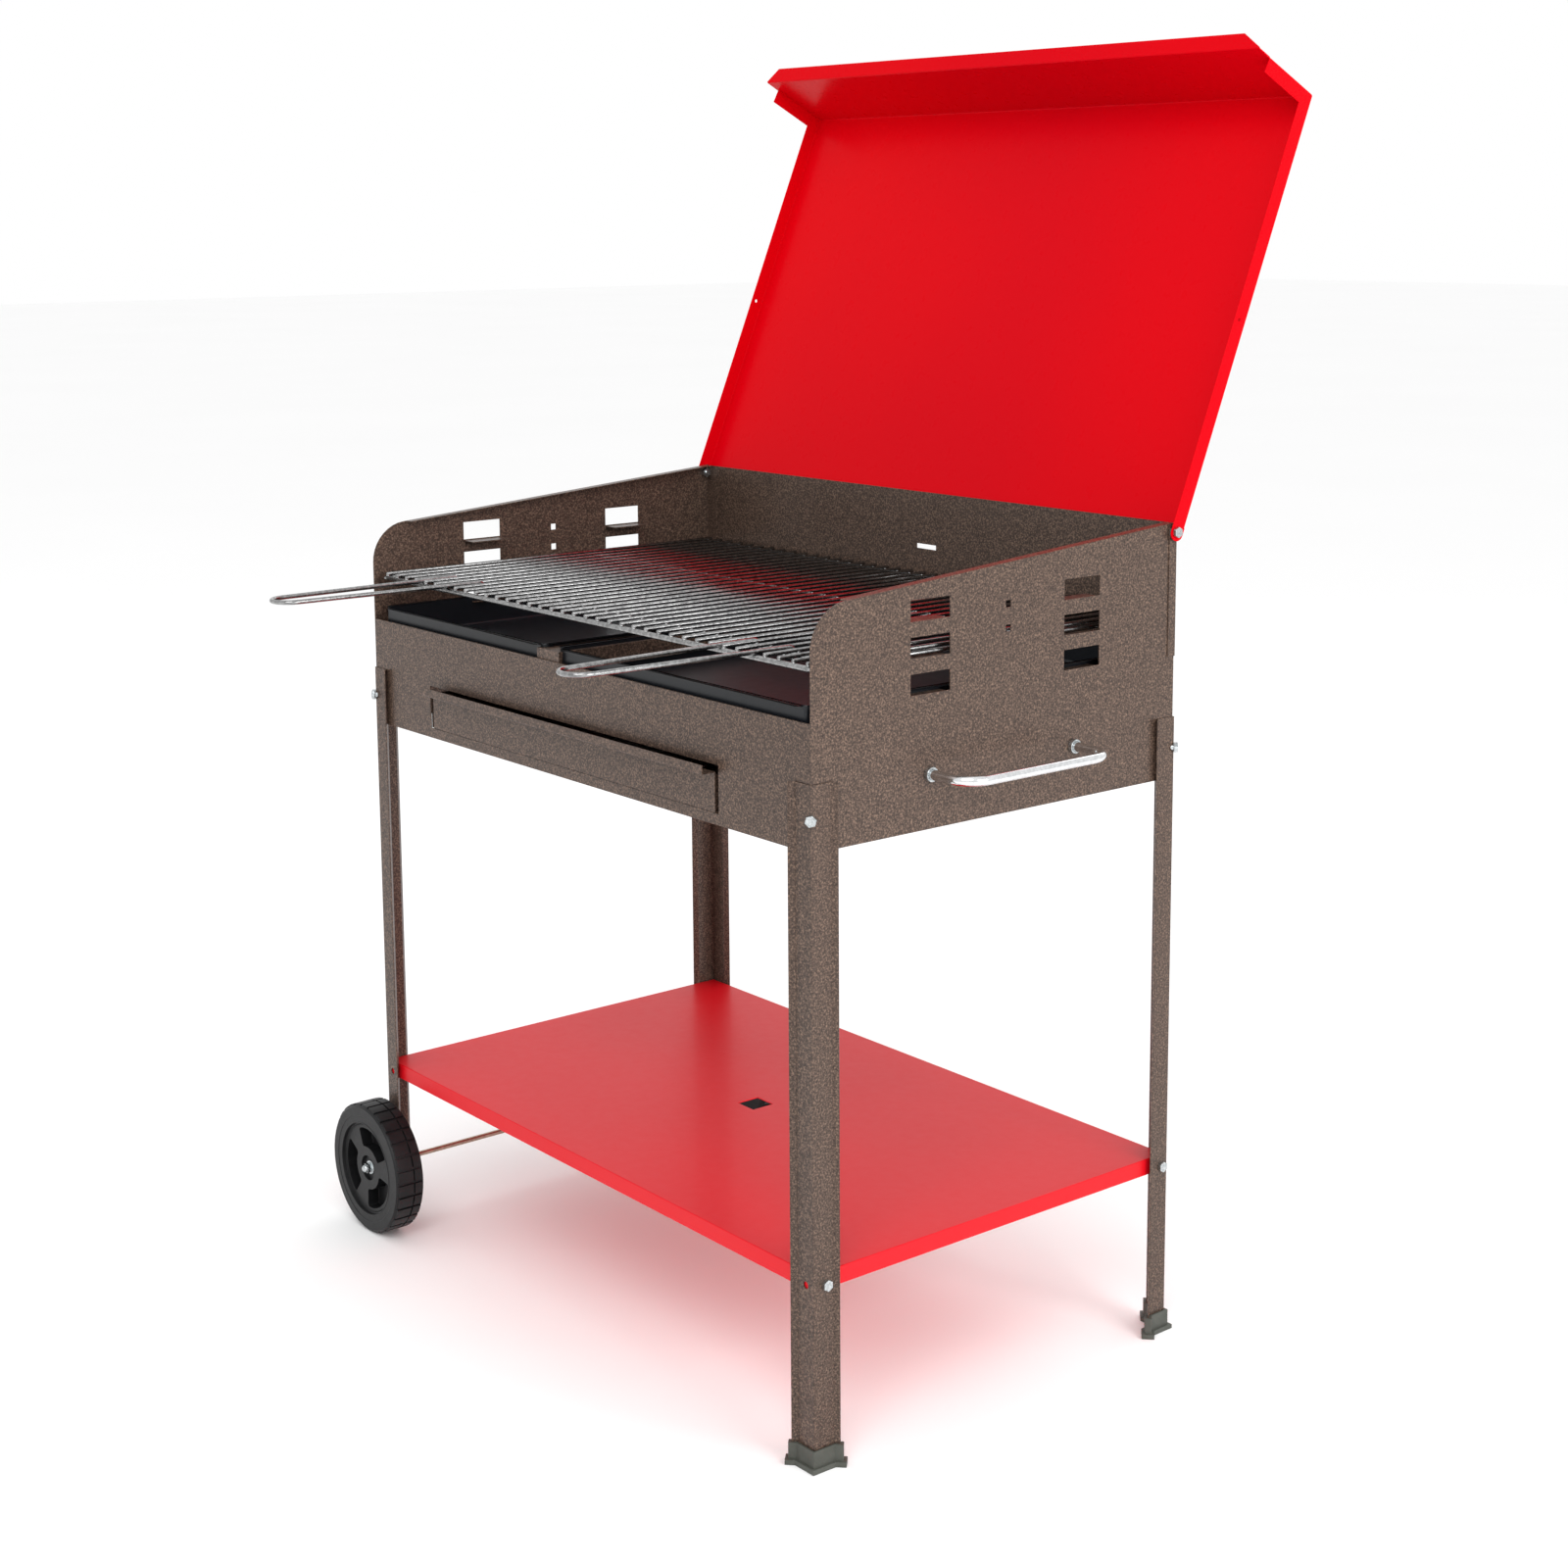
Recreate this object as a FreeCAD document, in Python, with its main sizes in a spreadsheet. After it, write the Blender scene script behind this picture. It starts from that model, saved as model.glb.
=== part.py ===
import FreeCAD, Part
import Sketcher
import math
import os
import re

# Trolley charcoal grill of folded sheet steel, in millimetres.
# X runs along the front, Y to the back, Z up. The origin is on the floor under the middle.

os.makedirs("parts", exist_ok=True)
doc = FreeCAD.newDocument("charcoal_grill")

SIZES = {
    # firebox body
    "sheet": 1.2,
    "body_width": 774,
    "body_depth": 472,
    "body_bottom": 591,
    "wall_top": 709,
    "side_top_rear": 851,
    "side_top_front": 813,
    "side_corner_radius": 40,
    "side_flange": 11,
    "side_flange_front": 44,
    "side_rear_flange": 18,
    "rear_flange_gap": 10,
    "wall_return": 15,
    "hem": 10,
    # lanced shelf slots and spit holes of the side panels
    "slot_height": 20,
    "slot_front_near": -117.5,
    "slot_front_far": -68.2,
    "slot_rear_near": 80.5,
    "slot_rear_far": 129,
    "slot_row_a": 788.5,
    "slot_row_b": 754,
    "slot_row_c": 719.6,
    "tab_reach": 20,
    "tab_drop": 1,
    "spit_hole": 7,
    "spit_place": 6,
    "spit_hole_a": 793,
    "spit_hole_b": 769.5,
    # rear wind guard
    "guard_bottom": 716,
    "guard_top": 850,
    "guard_flange": 10,
    "guard_slot_width": 32,
    "guard_slot_height": 5.4,
    "guard_slot_low": 786.3,
    # legs and feet
    "leg_flange": 24,
    "leg_flare": 7,
    "leg_top": 654,
    "leg_bottom": 5,
    "short_leg_bottom": 57,
    "foot_wall": 3,
    "foot_flare": 6,
    "foot_base": 5,
    "foot_rim": 21,
    "foot_gap": 0.15,
    # bottom shelf
    "shelf_width": 772,
    "shelf_depth": 471,
    "shelf_top": 192,
    "shelf_fold": 17,
    "shelf_relief": 3,
    "shelf_hole": 28,
    # screws, bolts and nuts
    "bolt_radius": 3,
    "bolt_hole": 3.2,
    "nut_hole": 3.05,
    "hex_radius": 5.77,
    "head_height": 4,
    "nut_height": 5,
    "corner_bolt_height": 622,
    "corner_bolt_end": 16,
    "corner_nut_place": 9.4,
    "shelf_bolt_height": 180,
    "shelf_bolt_front": 14,
    "shelf_bolt_rear": 7,
    "shelf_bolt_end": 9,
    "spare_hole": 3.5,
    "spare_hole_place": 10,
    # wheels
    "axle_place": -370,
    "axle_height": 75,
    "axle_end": 281,
    "wheel_radius": 75,
    "wheel_width": 35.5,
    "wheel_face": 246.2,
    "wheel_bore": 3.05,
    "rim_inner": 53,
    "rim_recess": 4,
    "hub_recess_radius": 14,
    "hub_recess": 8,
    "web_low": 14,
    "web_high": 17.5,
    "pocket_inner": 25,
    "pocket_outer": 47,
    "pocket_angle": 84,
    "back_inner": 16,
    "back_outer": 66,
    "spacer_radius": 5.5,
    "washer_radius": 8,
    "washer_height": 1.2,
    "cap_radius": 4.7,
    "cap_end_gap": 0.2,
    "running_gap": 0.3,
    # side handle
    "handle_height": 643.5,
    "handle_half": 94,
    "handle_reach": 53,
    "handle_rod": 5,
    "handle_bend": 25,
    "handle_hole": 5.05,
    "handle_collar": 7,
    "handle_nut": 8.5,
    "handle_end": 8,
    # hinged lid, in a frame that has the hinge axis at its origin
    "lid_width": 785,
    "hinge_place": 230.5,
    "hinge_height": 842,
    "lid_lean": 22.9,
    "lid_skin": 10.3,
    "lid_rear": 8,
    "lid_length": 464,
    "lid_bend": 85,
    "lip_length": 94.5,
    "grip_bend": 69,
    "grip_length": 16.3,
    "grip_corner": 21,
    "lid_flange": 17,
    "lip_flange_stop": 18.5,
    "lid_hole": 2,
    "lid_hole_place": 225,
    "hinge_hole": 3.05,
    "hinge_end": 8,
    # ash drawer and its runners
    "drawer_left": -264,
    "drawer_right": 244.6,
    "drawer_bottom": 602.3,
    "drawer_top": 642,
    "opening_left": -270,
    "opening_right": 250.5,
    "opening_bottom": 602,
    "opening_top": 649,
    "drawer_depth": 400,
    "drawer_wall_top": 637,
    "drawer_side_gap": 2,
    "tray_lift": 1.2,
    "gutter": 15,
    "gutter_lip": 650,
    "runner_ledge": 20,
    "runner_top": 640,
    # charcoal pans and the bar between them
    "pan_outer": 372,
    "pan_left_end": -52,
    "pan_right_end": -24,
    "pan_half_depth": 229,
    "pan_top": 724,
    "pan_floor": 690,
    "pan_rim": 12,
    "pan_rim_fold": 4,
    "bar_overlap": 6,
    "bar_top": 719.6,
    "bar_fold": 18,
    # grate
    "grate_level": 756.05,
    "grate_rod": 2.75,
    "wire": 2,
    "wire_pitch": 20.667,
    "wire_front": -228,
    "wire_rear": 230,
    "rail_place": 374,
    "rod_a": -226,
    "rod_b": -187,
    "rod_c": 50,
    "rod_d": 225,
    "grip_place": 269.5,
    "grip_wire": 2.5,
    "grip_half": 26.75,
    "grip_front": -423.7,
    # how far drills, punches and other cutting tools reach past what they cut
    "drill": 15,
    "punch": 5,
    "over": 1,
}
WIRES = 37
SPOKE_ANGLES = (10, 130, 250)
FULL_TURN = 360
CORNER_ARC = range(0, 91, 10)
EAR_ARC = range(90, 271, 20)
FIRST_GUESS = 100
CORNERS = {"front_right": (1, -1), "front_left": (-1, -1), "rear_right": (1, 1), "rear_left": (-1, 1)}
SIDES = {"right": 1, "left": -1}
SLOT_ROWS = ("slot_row_a", "slot_row_b", "slot_row_c")
SLOT_COLUMNS = (("slot_front_near", "slot_front_far"), ("slot_rear_near", "slot_rear_far"))

sheet = doc.addObject("Spreadsheet::Sheet", "Sizes")
for row, (word, value) in enumerate(SIZES.items(), start=1):
    sheet.set(f"A{row}", word)
    sheet.set(f"B{row}", str(value))
    sheet.setAlias(f"B{row}", word)
doc.recompute()

nodes = {}


def expression(text):
    """Turn words of the sheet inside a formula into references to its cells."""
    return re.sub(r"[a-z][a-z_]*", lambda m: f"Sizes.{m.group()}" if m.group() in SIZES else m.group(), text)


def bind(obj, **sizes):
    """Tie properties of an object to formulas of sheet words."""
    for name, text in sizes.items():
        obj.setExpression(name, expression(text))
    return obj


def place(obj, x="0", y="0", z="0", turn=None):
    """Put an object at a place given by formulas, turned first."""
    obj.Placement = FreeCAD.Placement(FreeCAD.Vector(), turn or FreeCAD.Rotation())
    for letter, text in zip("xyz", (x, y, z)):
        obj.setExpression(f"Placement.Base.{letter}", expression(text))
    return obj


def about(axis, angle):
    """Rotation by an angle in degrees about an axis named x, y or z."""
    return FreeCAD.Rotation(FreeCAD.Vector(*[1.0 if axis == letter else 0.0 for letter in "xyz"]), angle)


ALONG = {"x": about("y", 90), "y": about("x", -90), "z": FreeCAD.Rotation()}


def box(name, x, y, z, length, width, height):
    """Block with its low corner at x, y, z."""
    obj = doc.addObject("Part::Box", name)
    bind(obj, Length=length, Width=width, Height=height)
    return place(obj, x, y, z)


def cylinder(name, radius, length, x, y, z, along="z"):
    """Round bar that starts at x, y, z and runs along an axis or a rotation."""
    obj = doc.addObject("Part::Cylinder", name)
    bind(obj, Radius=radius, Height=length)
    return place(obj, x, y, z, ALONG.get(along, along) if isinstance(along, str) else along)


def hexagon(name, radius, length, x, y, z, along="z"):
    """Six-sided bar for a bolt head or a nut."""
    obj = doc.addObject("Part::Prism", name)
    obj.Polygon = 6
    bind(obj, Circumradius=radius, Height=length)
    return place(obj, x, y, z, ALONG[along] if isinstance(along, str) else along)


def ring(name, bend, radius, start, end, x, y, z, turn=None):
    """Bent round bar: part of a torus from one angle to another."""
    obj = doc.addObject("Part::Torus", name)
    bind(obj, Radius1=bend, Radius2=radius)
    obj.Angle3 = end - start
    turn = (turn or FreeCAD.Rotation()).multiply(about("z", start))
    return place(obj, x, y, z, turn)


def fuse(name, parts):
    """Join several solids into one."""
    obj = doc.addObject("Part::MultiFuse", name)
    obj.Shapes = parts
    return obj


def cut(name, base, tools):
    """Take one or more solids away from another."""
    obj = doc.addObject("Part::Cut", name)
    obj.Base = base
    obj.Tool = tools[0] if len(tools) == 1 else fuse(name + "_tools", tools)
    return obj


def group(name, parts):
    """Keep identical pieces together as separate solids."""
    obj = doc.addObject("Part::Compound", name)
    obj.Links = parts
    return obj


def node(label, obj):
    """Register an object as a sub-part of the grill."""
    obj.Label = label
    nodes[label] = obj
    return obj


def prism(name, plane, outline, length, x="0", y="0", z="0"):
    """Body with one closed sketch of (across, up) formulas on an origin plane, padded by a length."""
    body = doc.addObject("PartDesign::Body", name)
    origin_plane = next(item for item in body.Origin.OriginFeatures if item.Role == plane)
    drawing = body.newObject("Sketcher::SketchObject", name + "_sketch")
    drawing.AttachmentSupport = [(origin_plane, "")]
    drawing.MapMode = "FlatFace"
    count = len(outline)
    starts = [
        FreeCAD.Vector(math.cos(math.tau * i / count), math.sin(math.tau * i / count), 0) * FIRST_GUESS
        for i in range(count)
    ]
    for i in range(count):
        drawing.addGeometry(Part.LineSegment(starts[i], starts[(i + 1) % count]), False)
    for i in range(count):
        drawing.addConstraint(Sketcher.Constraint("Coincident", i, 2, (i + 1) % count, 1))
    for i, (across, up) in enumerate(outline):
        for kind, start, text in (("DistanceX", starts[i].x, across), ("DistanceY", starts[i].y, up)):
            index = drawing.addConstraint(Sketcher.Constraint(kind, -1, 1, i, 1, start))
            drawing.setExpression(f"Constraints[{index}]", expression(text))
    pad = body.newObject("PartDesign::Pad", name + "_pad")
    pad.Profile = drawing
    bind(pad, Length=length)
    body.Tip = pad
    return place(body, x, y, z)


def span(side, near, far):
    """Low end of a stretch that runs from near to far of the middle, on either side."""
    return near if side > 0 else f"-({far})"


# ---------------------------------------------------------------- corner and shelf fasteners


def diagonal(sx, sy):
    """Rotation that aims a bar out of a body corner."""
    return FreeCAD.Rotation(FreeCAD.Vector(0, 0, 1), FreeCAD.Vector(sx, sy, 0))


def corner_bar(maker, name, radius, sx, sy, start, length):
    """Bar on the diagonal of a corner, start mm out of the corner of the body."""
    x = f"{sx} * (body_width / 2 + ({start}) / sqrt(2))"
    y = f"{sy} * (body_depth / 2 + ({start}) / sqrt(2))"
    return maker(name, radius, length, x, y, "corner_bolt_height", diagonal(sx, sy))


def corner_drill(name, sx, sy):
    """Hole for the bolt of one corner."""
    return corner_bar(cylinder, name, "bolt_hole", sx, sy, "-corner_bolt_end", "corner_bolt_end * 2")


def shelf_bolt_place(sy):
    """Y of the bolt that holds the shelf to a leg."""
    inset = "shelf_bolt_front" if sy < 0 else "shelf_bolt_rear"
    return f"{sy} * (body_depth / 2 - {inset})"


def shelf_drill(name, sx, sy, radius="bolt_hole"):
    """Hole along X through a leg and the fold of the shelf."""
    low = span(sx, "body_width / 2 - drill", "body_width / 2 + drill")
    return cylinder(name, radius, "2 * drill", low, shelf_bolt_place(sy), "shelf_bolt_height", "x")


def make_corner_fasteners():
    """Hexagon bolts through the four upper corners, with their nuts inside."""
    bolts = []
    nuts = []
    for corner, (sx, sy) in CORNERS.items():
        name = "corner_bolt_" + corner
        head = corner_bar(hexagon, name + "_head", "hex_radius", sx, sy, "sheet * sqrt(2)", "head_height")
        shank = corner_bar(
            cylinder, name + "_shank", "bolt_radius", sx, sy,
            "-corner_bolt_end", "corner_bolt_end + sheet * sqrt(2)",
        )
        bolts.append(fuse(name, [head, shank]))
        name = "corner_nut_" + corner
        start = "-corner_nut_place - nut_height"
        blank = corner_bar(hexagon, name + "_blank", "hex_radius", sx, sy, start, "nut_height")
        hole = corner_bar(cylinder, name + "_hole", "nut_hole", sx, sy, "-corner_bolt_end", "corner_bolt_end")
        nuts.append(cut(name, blank, [hole]))
    node("corner_bolts", group("corner_bolts", bolts))
    node("corner_nuts", group("corner_nuts", nuts))


def make_shelf_fasteners():
    """Hexagon bolts through the legs and the folds of the shelf, with nuts inside."""
    bolts = []
    nuts = []
    for corner, (sx, sy) in CORNERS.items():
        name = "shelf_bolt_" + corner
        y = shelf_bolt_place(sy)
        outer = "body_width / 2 + sheet"
        inner = f"{outer} - shelf_bolt_end"
        head_low = span(sx, outer, f"{outer} + head_height")
        head = hexagon(name + "_head", "hex_radius", "head_height", head_low, y, "shelf_bolt_height", "x")
        shank_low = span(sx, inner, outer)
        shank = cylinder(
            name + "_shank", "bolt_radius", "shelf_bolt_end", shank_low, y, "shelf_bolt_height", "x"
        )
        bolts.append(fuse(name, [head, shank]))
        name = "shelf_nut_" + corner
        nut_far = "shelf_width / 2 - sheet"
        nut_low = span(sx, f"{nut_far} - nut_height", nut_far)
        blank = hexagon(name + "_blank", "hex_radius", "nut_height", nut_low, y, "shelf_bolt_height", "x")
        nuts.append(cut(name, blank, [shelf_drill(name + "_hole", sx, sy, "nut_hole")]))
    node("shelf_bolts", group("shelf_bolts", bolts))
    node("shelf_nuts", group("shelf_nuts", nuts))


# ---------------------------------------------------------------- firebox panels


def hinge_drill(name, side):
    """Hole along X for the hinge bolt of one side."""
    low = span(side, "body_width / 2 - drill", "body_width / 2 + drill")
    return cylinder(name, "hinge_hole", "2 * drill", low, "hinge_place", "hinge_height", "x")


def make_side_panel(word, side):
    """Sloping side panel with folded top and rear edges, lanced shelf tabs and spit holes."""
    name = "side_panel_" + word
    half_depth = "body_depth / 2"
    slope = "(side_top_rear - side_top_front) / body_depth"
    radius = "side_corner_radius"
    outline = [
        (f"-{half_depth}", "body_bottom"),
        (half_depth, "body_bottom"),
        (half_depth, "side_top_rear"),
    ]
    for step in CORNER_ARC:
        outline.append(
            (
                f"-{half_depth} + {radius} * (1 - sin({step}))",
                f"side_top_front + ({slope} - 1) * {radius} + {radius} * (cos({step}) - {slope} * sin({step}))",
            )
        )
    skin_x = span(side, "body_width / 2 - sheet", "body_width / 2")
    plate = prism(name + "_plate", "YZ_Plane", outline, "sheet", skin_x)
    parts = [plate]
    tilt = about("x", math.degrees(math.atan2(
        SIZES["side_top_rear"] - SIZES["side_top_front"], SIZES["body_depth"])))
    top_low = span(side, "body_width / 2 - side_flange", "body_width / 2")
    long = "body_depth - side_flange_front - 2 * sheet"
    flange = box(name + "_top_flange", top_low, "0", "0", "side_flange", long, "sheet")
    start = f"-{half_depth} + side_flange_front"
    place(flange, top_low, start, f"side_top_front + {slope} * side_flange_front - sheet", tilt)
    parts.append(flange)
    parts.append(box(
        name + "_rear_flange", span(side, "body_width / 2 - side_rear_flange", "body_width / 2"),
        f"{half_depth} - sheet", "guard_bottom", "side_rear_flange", "sheet",
        "hinge_height - guard_bottom - rear_flange_gap",
    ))
    holes = []
    punch_x = span(side, "body_width / 2 - punch", "body_width / 2 + punch")
    tab_x = span(side, "body_width / 2 - sheet - tab_reach", "body_width / 2 - sheet / 2")
    for row in SLOT_ROWS:
        for index, (near, far) in enumerate(SLOT_COLUMNS):
            tag = f"{name}_{row}_{index}"
            wide = f"{far} - {near}"
            holes.append(box(tag + "_slot", punch_x, near, row, "2 * punch", wide, "slot_height"))
            parts.append(box(
                tag + "_tab", tab_x, near, f"{row} - tab_drop - sheet", "tab_reach + sheet / 2", wide, "sheet"
            ))
    for index, level in enumerate(("spit_hole_a", "spit_hole_b")):
        holes.append(box(
            f"{name}_spit_{index}", punch_x, "spit_place - spit_hole / 2", f"{level} - spit_hole / 2",
            "2 * punch", "spit_hole", "spit_hole",
        ))
    for corner, (sx, sy) in CORNERS.items():
        if sx == side:
            holes.append(corner_drill(f"{name}_{corner}_hole", sx, sy))
    if side > 0:
        for sign in (-1, 1):
            holes.append(cylinder(
                f"{name}_handle_hole_{sign + 1}", "handle_hole", "2 * drill", "body_width / 2 - drill",
                f"{sign} * handle_half", "handle_height", "x",
            ))
    holes.append(hinge_drill(name + "_hinge_hole", side))
    node(name, cut(name, fuse(name + "_sheet", parts), holes))


def make_wall(name, sy, openings):
    """Flat front or back wall with a hem, folded side returns and a bottom fold."""
    half = "body_width / 2 - sheet"
    face = span(sy, "body_depth / 2 - sheet", "body_depth / 2")
    inside = span(sy, "body_depth / 2 - 2 * sheet", "body_depth / 2 - sheet")
    fold = span(sy, "body_depth / 2 - sheet - wall_return", "body_depth / 2 - sheet")
    tall = "wall_top - body_bottom"
    parts = [
        box(name + "_face", f"-({half})", face, "body_bottom", f"2 * ({half})", "sheet", tall),
        box(name + "_hem", f"-({half})", inside, "wall_top - hem", f"2 * ({half})", "sheet", "hem"),
        box(name + "_fold", f"-({half})", fold, "body_bottom", f"2 * ({half})", "wall_return", "sheet"),
        box(name + "_left", f"-({half})", fold, "body_bottom", "sheet", "wall_return", tall),
        box(name + "_right", f"{half} - sheet", fold, "body_bottom", "sheet", "wall_return", tall),
    ]
    holes = list(openings)
    for corner, (cx, cy) in CORNERS.items():
        if cy == sy:
            holes.append(corner_drill(f"{name}_{corner}_hole", cx, cy))
    node(name, cut(name, fuse(name + "_sheet", parts), holes))


def make_walls():
    """Front wall with the opening for the ash drawer, and the back wall."""
    opening = box(
        "drawer_opening", "opening_left", "-body_depth / 2 - punch", "opening_bottom",
        "opening_right - opening_left", "2 * punch", "opening_top - opening_bottom",
    )
    make_wall("front_panel", -1, [opening])
    make_wall("back_panel", 1, [])


def make_wind_guard():
    """Upper rear wind guard whose narrow folds wrap the side panels."""
    half = "(body_width / 2 + sheet)"
    tall = "guard_top - guard_bottom"
    back = "body_depth / 2"
    parts = [box("guard_plate", f"-{half}", back, "guard_bottom", f"2 * {half}", "sheet", tall)]
    for word, side in SIDES.items():
        parts.append(box(
            "guard_fold_" + word, span(side, "body_width / 2", half), f"{back} - guard_flange", "guard_bottom",
            "sheet", "guard_flange + sheet", tall,
        ))
    slot = box(
        "guard_slot", "0", f"{back} - punch", "guard_slot_low",
        "guard_slot_width", "2 * punch", "guard_slot_height",
    )
    holes = [slot] + [hinge_drill("guard_hinge_" + word, side) for word, side in SIDES.items()]
    node("rear_wind_guard", cut("rear_wind_guard", fuse("guard_sheet", parts), holes))


# ---------------------------------------------------------------- legs, feet and shelf


def leg_outline(sx, sy, offset):
    """Angle section of a leg with its two free edges flared outwards, grown by an offset."""
    run = "(leg_flange - sheet)"
    flare = "(leg_flare / sqrt(2))"
    thick = "(sheet / sqrt(2))"
    grow = f"({offset})"
    bend = "tan(22.5)"
    half = [
        (f"{run} + {bend} * {grow}", grow),
        (f"{run} + {flare} + sqrt(2) * {grow}", f"-{flare}"),
        (f"{run} + {flare} - {thick}", f"-{flare} - {thick} - sqrt(2) * {grow}"),
        (f"{run} - {bend} * (sheet + {grow})", f"-(sheet + {grow})"),
    ]
    points = [(grow, grow)] + half + [(f"-(sheet + {grow})", f"-(sheet + {grow})")]
    points += [(v, u) for u, v in reversed(half)]
    return [(f"{sx} * (body_width / 2 - ({u}))", f"{sy} * (body_depth / 2 - ({v}))") for u, v in points]


def make_leg(corner, sx, sy):
    """Leg of folded angle with its bolt holes; the left legs are short and carry the axle."""
    name = "leg_" + corner
    bottom = "leg_bottom" if sx > 0 else "short_leg_bottom"
    stem = prism(name + "_stem", "XY_Plane", leg_outline(sx, sy, "0"), f"leg_top - {bottom}", z=bottom)
    side_y = span(sy, "body_depth / 2 - drill", "body_depth / 2 + drill")
    holes = [
        corner_drill(name + "_corner_hole", sx, sy),
        shelf_drill(name + "_shelf_hole", sx, sy),
        cylinder(
            name + "_spare_hole", "spare_hole", "2 * drill",
            f"{sx} * (body_width / 2 - spare_hole_place)", side_y, "shelf_bolt_height", "y",
        ),
    ]
    if sx < 0:
        holes.append(cylinder(
            name + "_axle_hole", "wheel_bore", "2 * drill", "axle_place", side_y, "axle_height", "y"
        ))
    node(name, cut(name, stem, holes))


def make_foot(corner, sx, sy):
    """Plastic cup that follows the leg, on a slightly wider base."""
    name = "foot_" + corner
    base = prism(name + "_base", "XY_Plane", leg_outline(sx, sy, "foot_flare"), "foot_base")
    cup = prism(name + "_cup", "XY_Plane", leg_outline(sx, sy, "foot_wall"), "foot_rim")
    socket = prism(name + "_socket", "XY_Plane", leg_outline(sx, sy, "foot_gap"), "foot_rim", z="leg_bottom")
    node(name, cut(name, fuse(name + "_blank", [base, cup]), [socket]))


def make_shelf():
    """Flat tray with folded edges and a square hole in its middle."""
    half_x = "shelf_width / 2"
    half_y = "shelf_depth / 2"
    low = "shelf_top - shelf_fold"
    parts = [box(
        "shelf_plate", f"-{half_x}", f"-{half_y}", "shelf_top - sheet", "shelf_width", "shelf_depth", "sheet"
    )]
    for word, side in SIDES.items():
        parts.append(box(
            "shelf_side_" + word, span(side, f"{half_x} - sheet", half_x), f"-{half_y} + shelf_relief", low,
            "sheet", "shelf_depth - 2 * shelf_relief", "shelf_fold",
        ))
        parts.append(box(
            "shelf_edge_" + word, f"-{half_x} + shelf_relief", span(side, f"{half_y} - sheet", half_y), low,
            "shelf_width - 2 * shelf_relief", "sheet", "shelf_fold",
        ))
    middle = "-shelf_hole / 2"
    holes = [box("shelf_square", middle, middle, low, "shelf_hole", "shelf_hole", "2 * drill")]
    holes += [shelf_drill(f"shelf_{corner}_hole", sx, sy) for corner, (sx, sy) in CORNERS.items()]
    node("bottom_shelf", cut("bottom_shelf", fuse("shelf_sheet", parts), holes))


# ---------------------------------------------------------------- wheels and axle


def make_wheel(word, side):
    """Plastic wheel: broad rim, thin web with three spokes, recessed hub."""
    name = "wheel_" + word
    disc = cylinder(name + "_disc", "wheel_radius", "wheel_width", "0", "0", "0")
    face = "wheel_width - rim_recess"
    tools = [
        cylinder(name + "_bore", "wheel_bore", "wheel_width + 2 * over", "0", "0", "-over"),
        cylinder(name + "_face", "rim_inner", "rim_recess + over", "0", "0", face),
        cylinder(name + "_hub", "hub_recess_radius", "hub_recess + over", "0", "0", "wheel_width - hub_recess"),
    ]
    back = cylinder(name + "_back_outer", "back_outer", "web_low + over", "0", "0", "-over")
    back_core = cylinder(name + "_back_core", "back_inner", "web_low + 3 * over", "0", "0", "-2 * over")
    tools.append(cut(name + "_back", back, [back_core]))
    spoke_half = (FULL_TURN / len(SPOKE_ANGLES) - SIZES["pocket_angle"]) / 2
    for angle in SPOKE_ANGLES:
        tag = f"{name}_pocket_{angle}"
        sector = cylinder(tag + "_sector", "pocket_outer", f"{face} - web_high + over", "0", "0", "web_high")
        bind(sector, Angle="pocket_angle")
        place(sector, "0", "0", "web_high", about("z", angle + spoke_half))
        core = cylinder(tag + "_core", "pocket_inner", "wheel_width", "0", "0", "web_high - over")
        tools.append(cut(tag, sector, [core]))
    wheel = cut(name, disc, tools)
    place(wheel, "axle_place", f"{side} * wheel_face", "axle_height", about("x", -90 * side))
    node(name, wheel)


def make_axle():
    """Steel axle through the short legs, with spacers, washers and cap nuts."""
    axle = cylinder("wheel_axle", "bolt_radius", "2 * axle_end", "axle_place", "-axle_end", "axle_height", "y")
    node("wheel_axle", axle)
    hub_face = "wheel_face + wheel_width - hub_recess"
    leg_face = "body_depth / 2 + sheet"
    pieces = {"axle_spacers": [], "wheel_washers": [], "axle_cap_nuts": []}
    for word, side in {"front": -1, "rear": 1}.items():
        aim = about("x", -90 * side)

        def bar(maker, tag, radius, start, end):
            long = f"({end}) - ({start})"
            return maker(f"{tag}_{word}", radius, long, "axle_place", f"{side} * ({start})", "axle_height", aim)

        hole = bar(cylinder, "spacer_hole", "nut_hole", f"{leg_face} - over", "wheel_face + over")
        tube = bar(cylinder, "spacer_tube", "spacer_radius", leg_face, "wheel_face - running_gap")
        pieces["axle_spacers"].append(cut("spacer_" + word, tube, [hole]))
        start = f"{hub_face} + running_gap"
        hole = bar(cylinder, "washer_hole", "nut_hole", f"{start} - over", f"{start} + washer_height + over")
        disc = bar(cylinder, "washer_disc", "washer_radius", start, f"{start} + washer_height")
        pieces["wheel_washers"].append(cut("washer_" + word, disc, [hole]))
        start = f"{start} + washer_height"
        nut = bar(hexagon, "cap_nut_blank", "hex_radius", start, f"{start} + nut_height")
        dome = doc.addObject("Part::Sphere", "cap_dome_" + word)
        bind(dome, Radius="cap_radius")
        place(dome, "axle_place", f"{side} * ({start} + nut_height)", "axle_height")
        hole = bar(cylinder, "cap_hole", "nut_hole", f"{start} - over", "axle_end + cap_end_gap")
        pieces["axle_cap_nuts"].append(cut("cap_nut_" + word, fuse("cap_blank_" + word, [nut, dome]), [hole]))
    for label, solids in pieces.items():
        node(label, group(label, solids))


# ---------------------------------------------------------------- side handle


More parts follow.
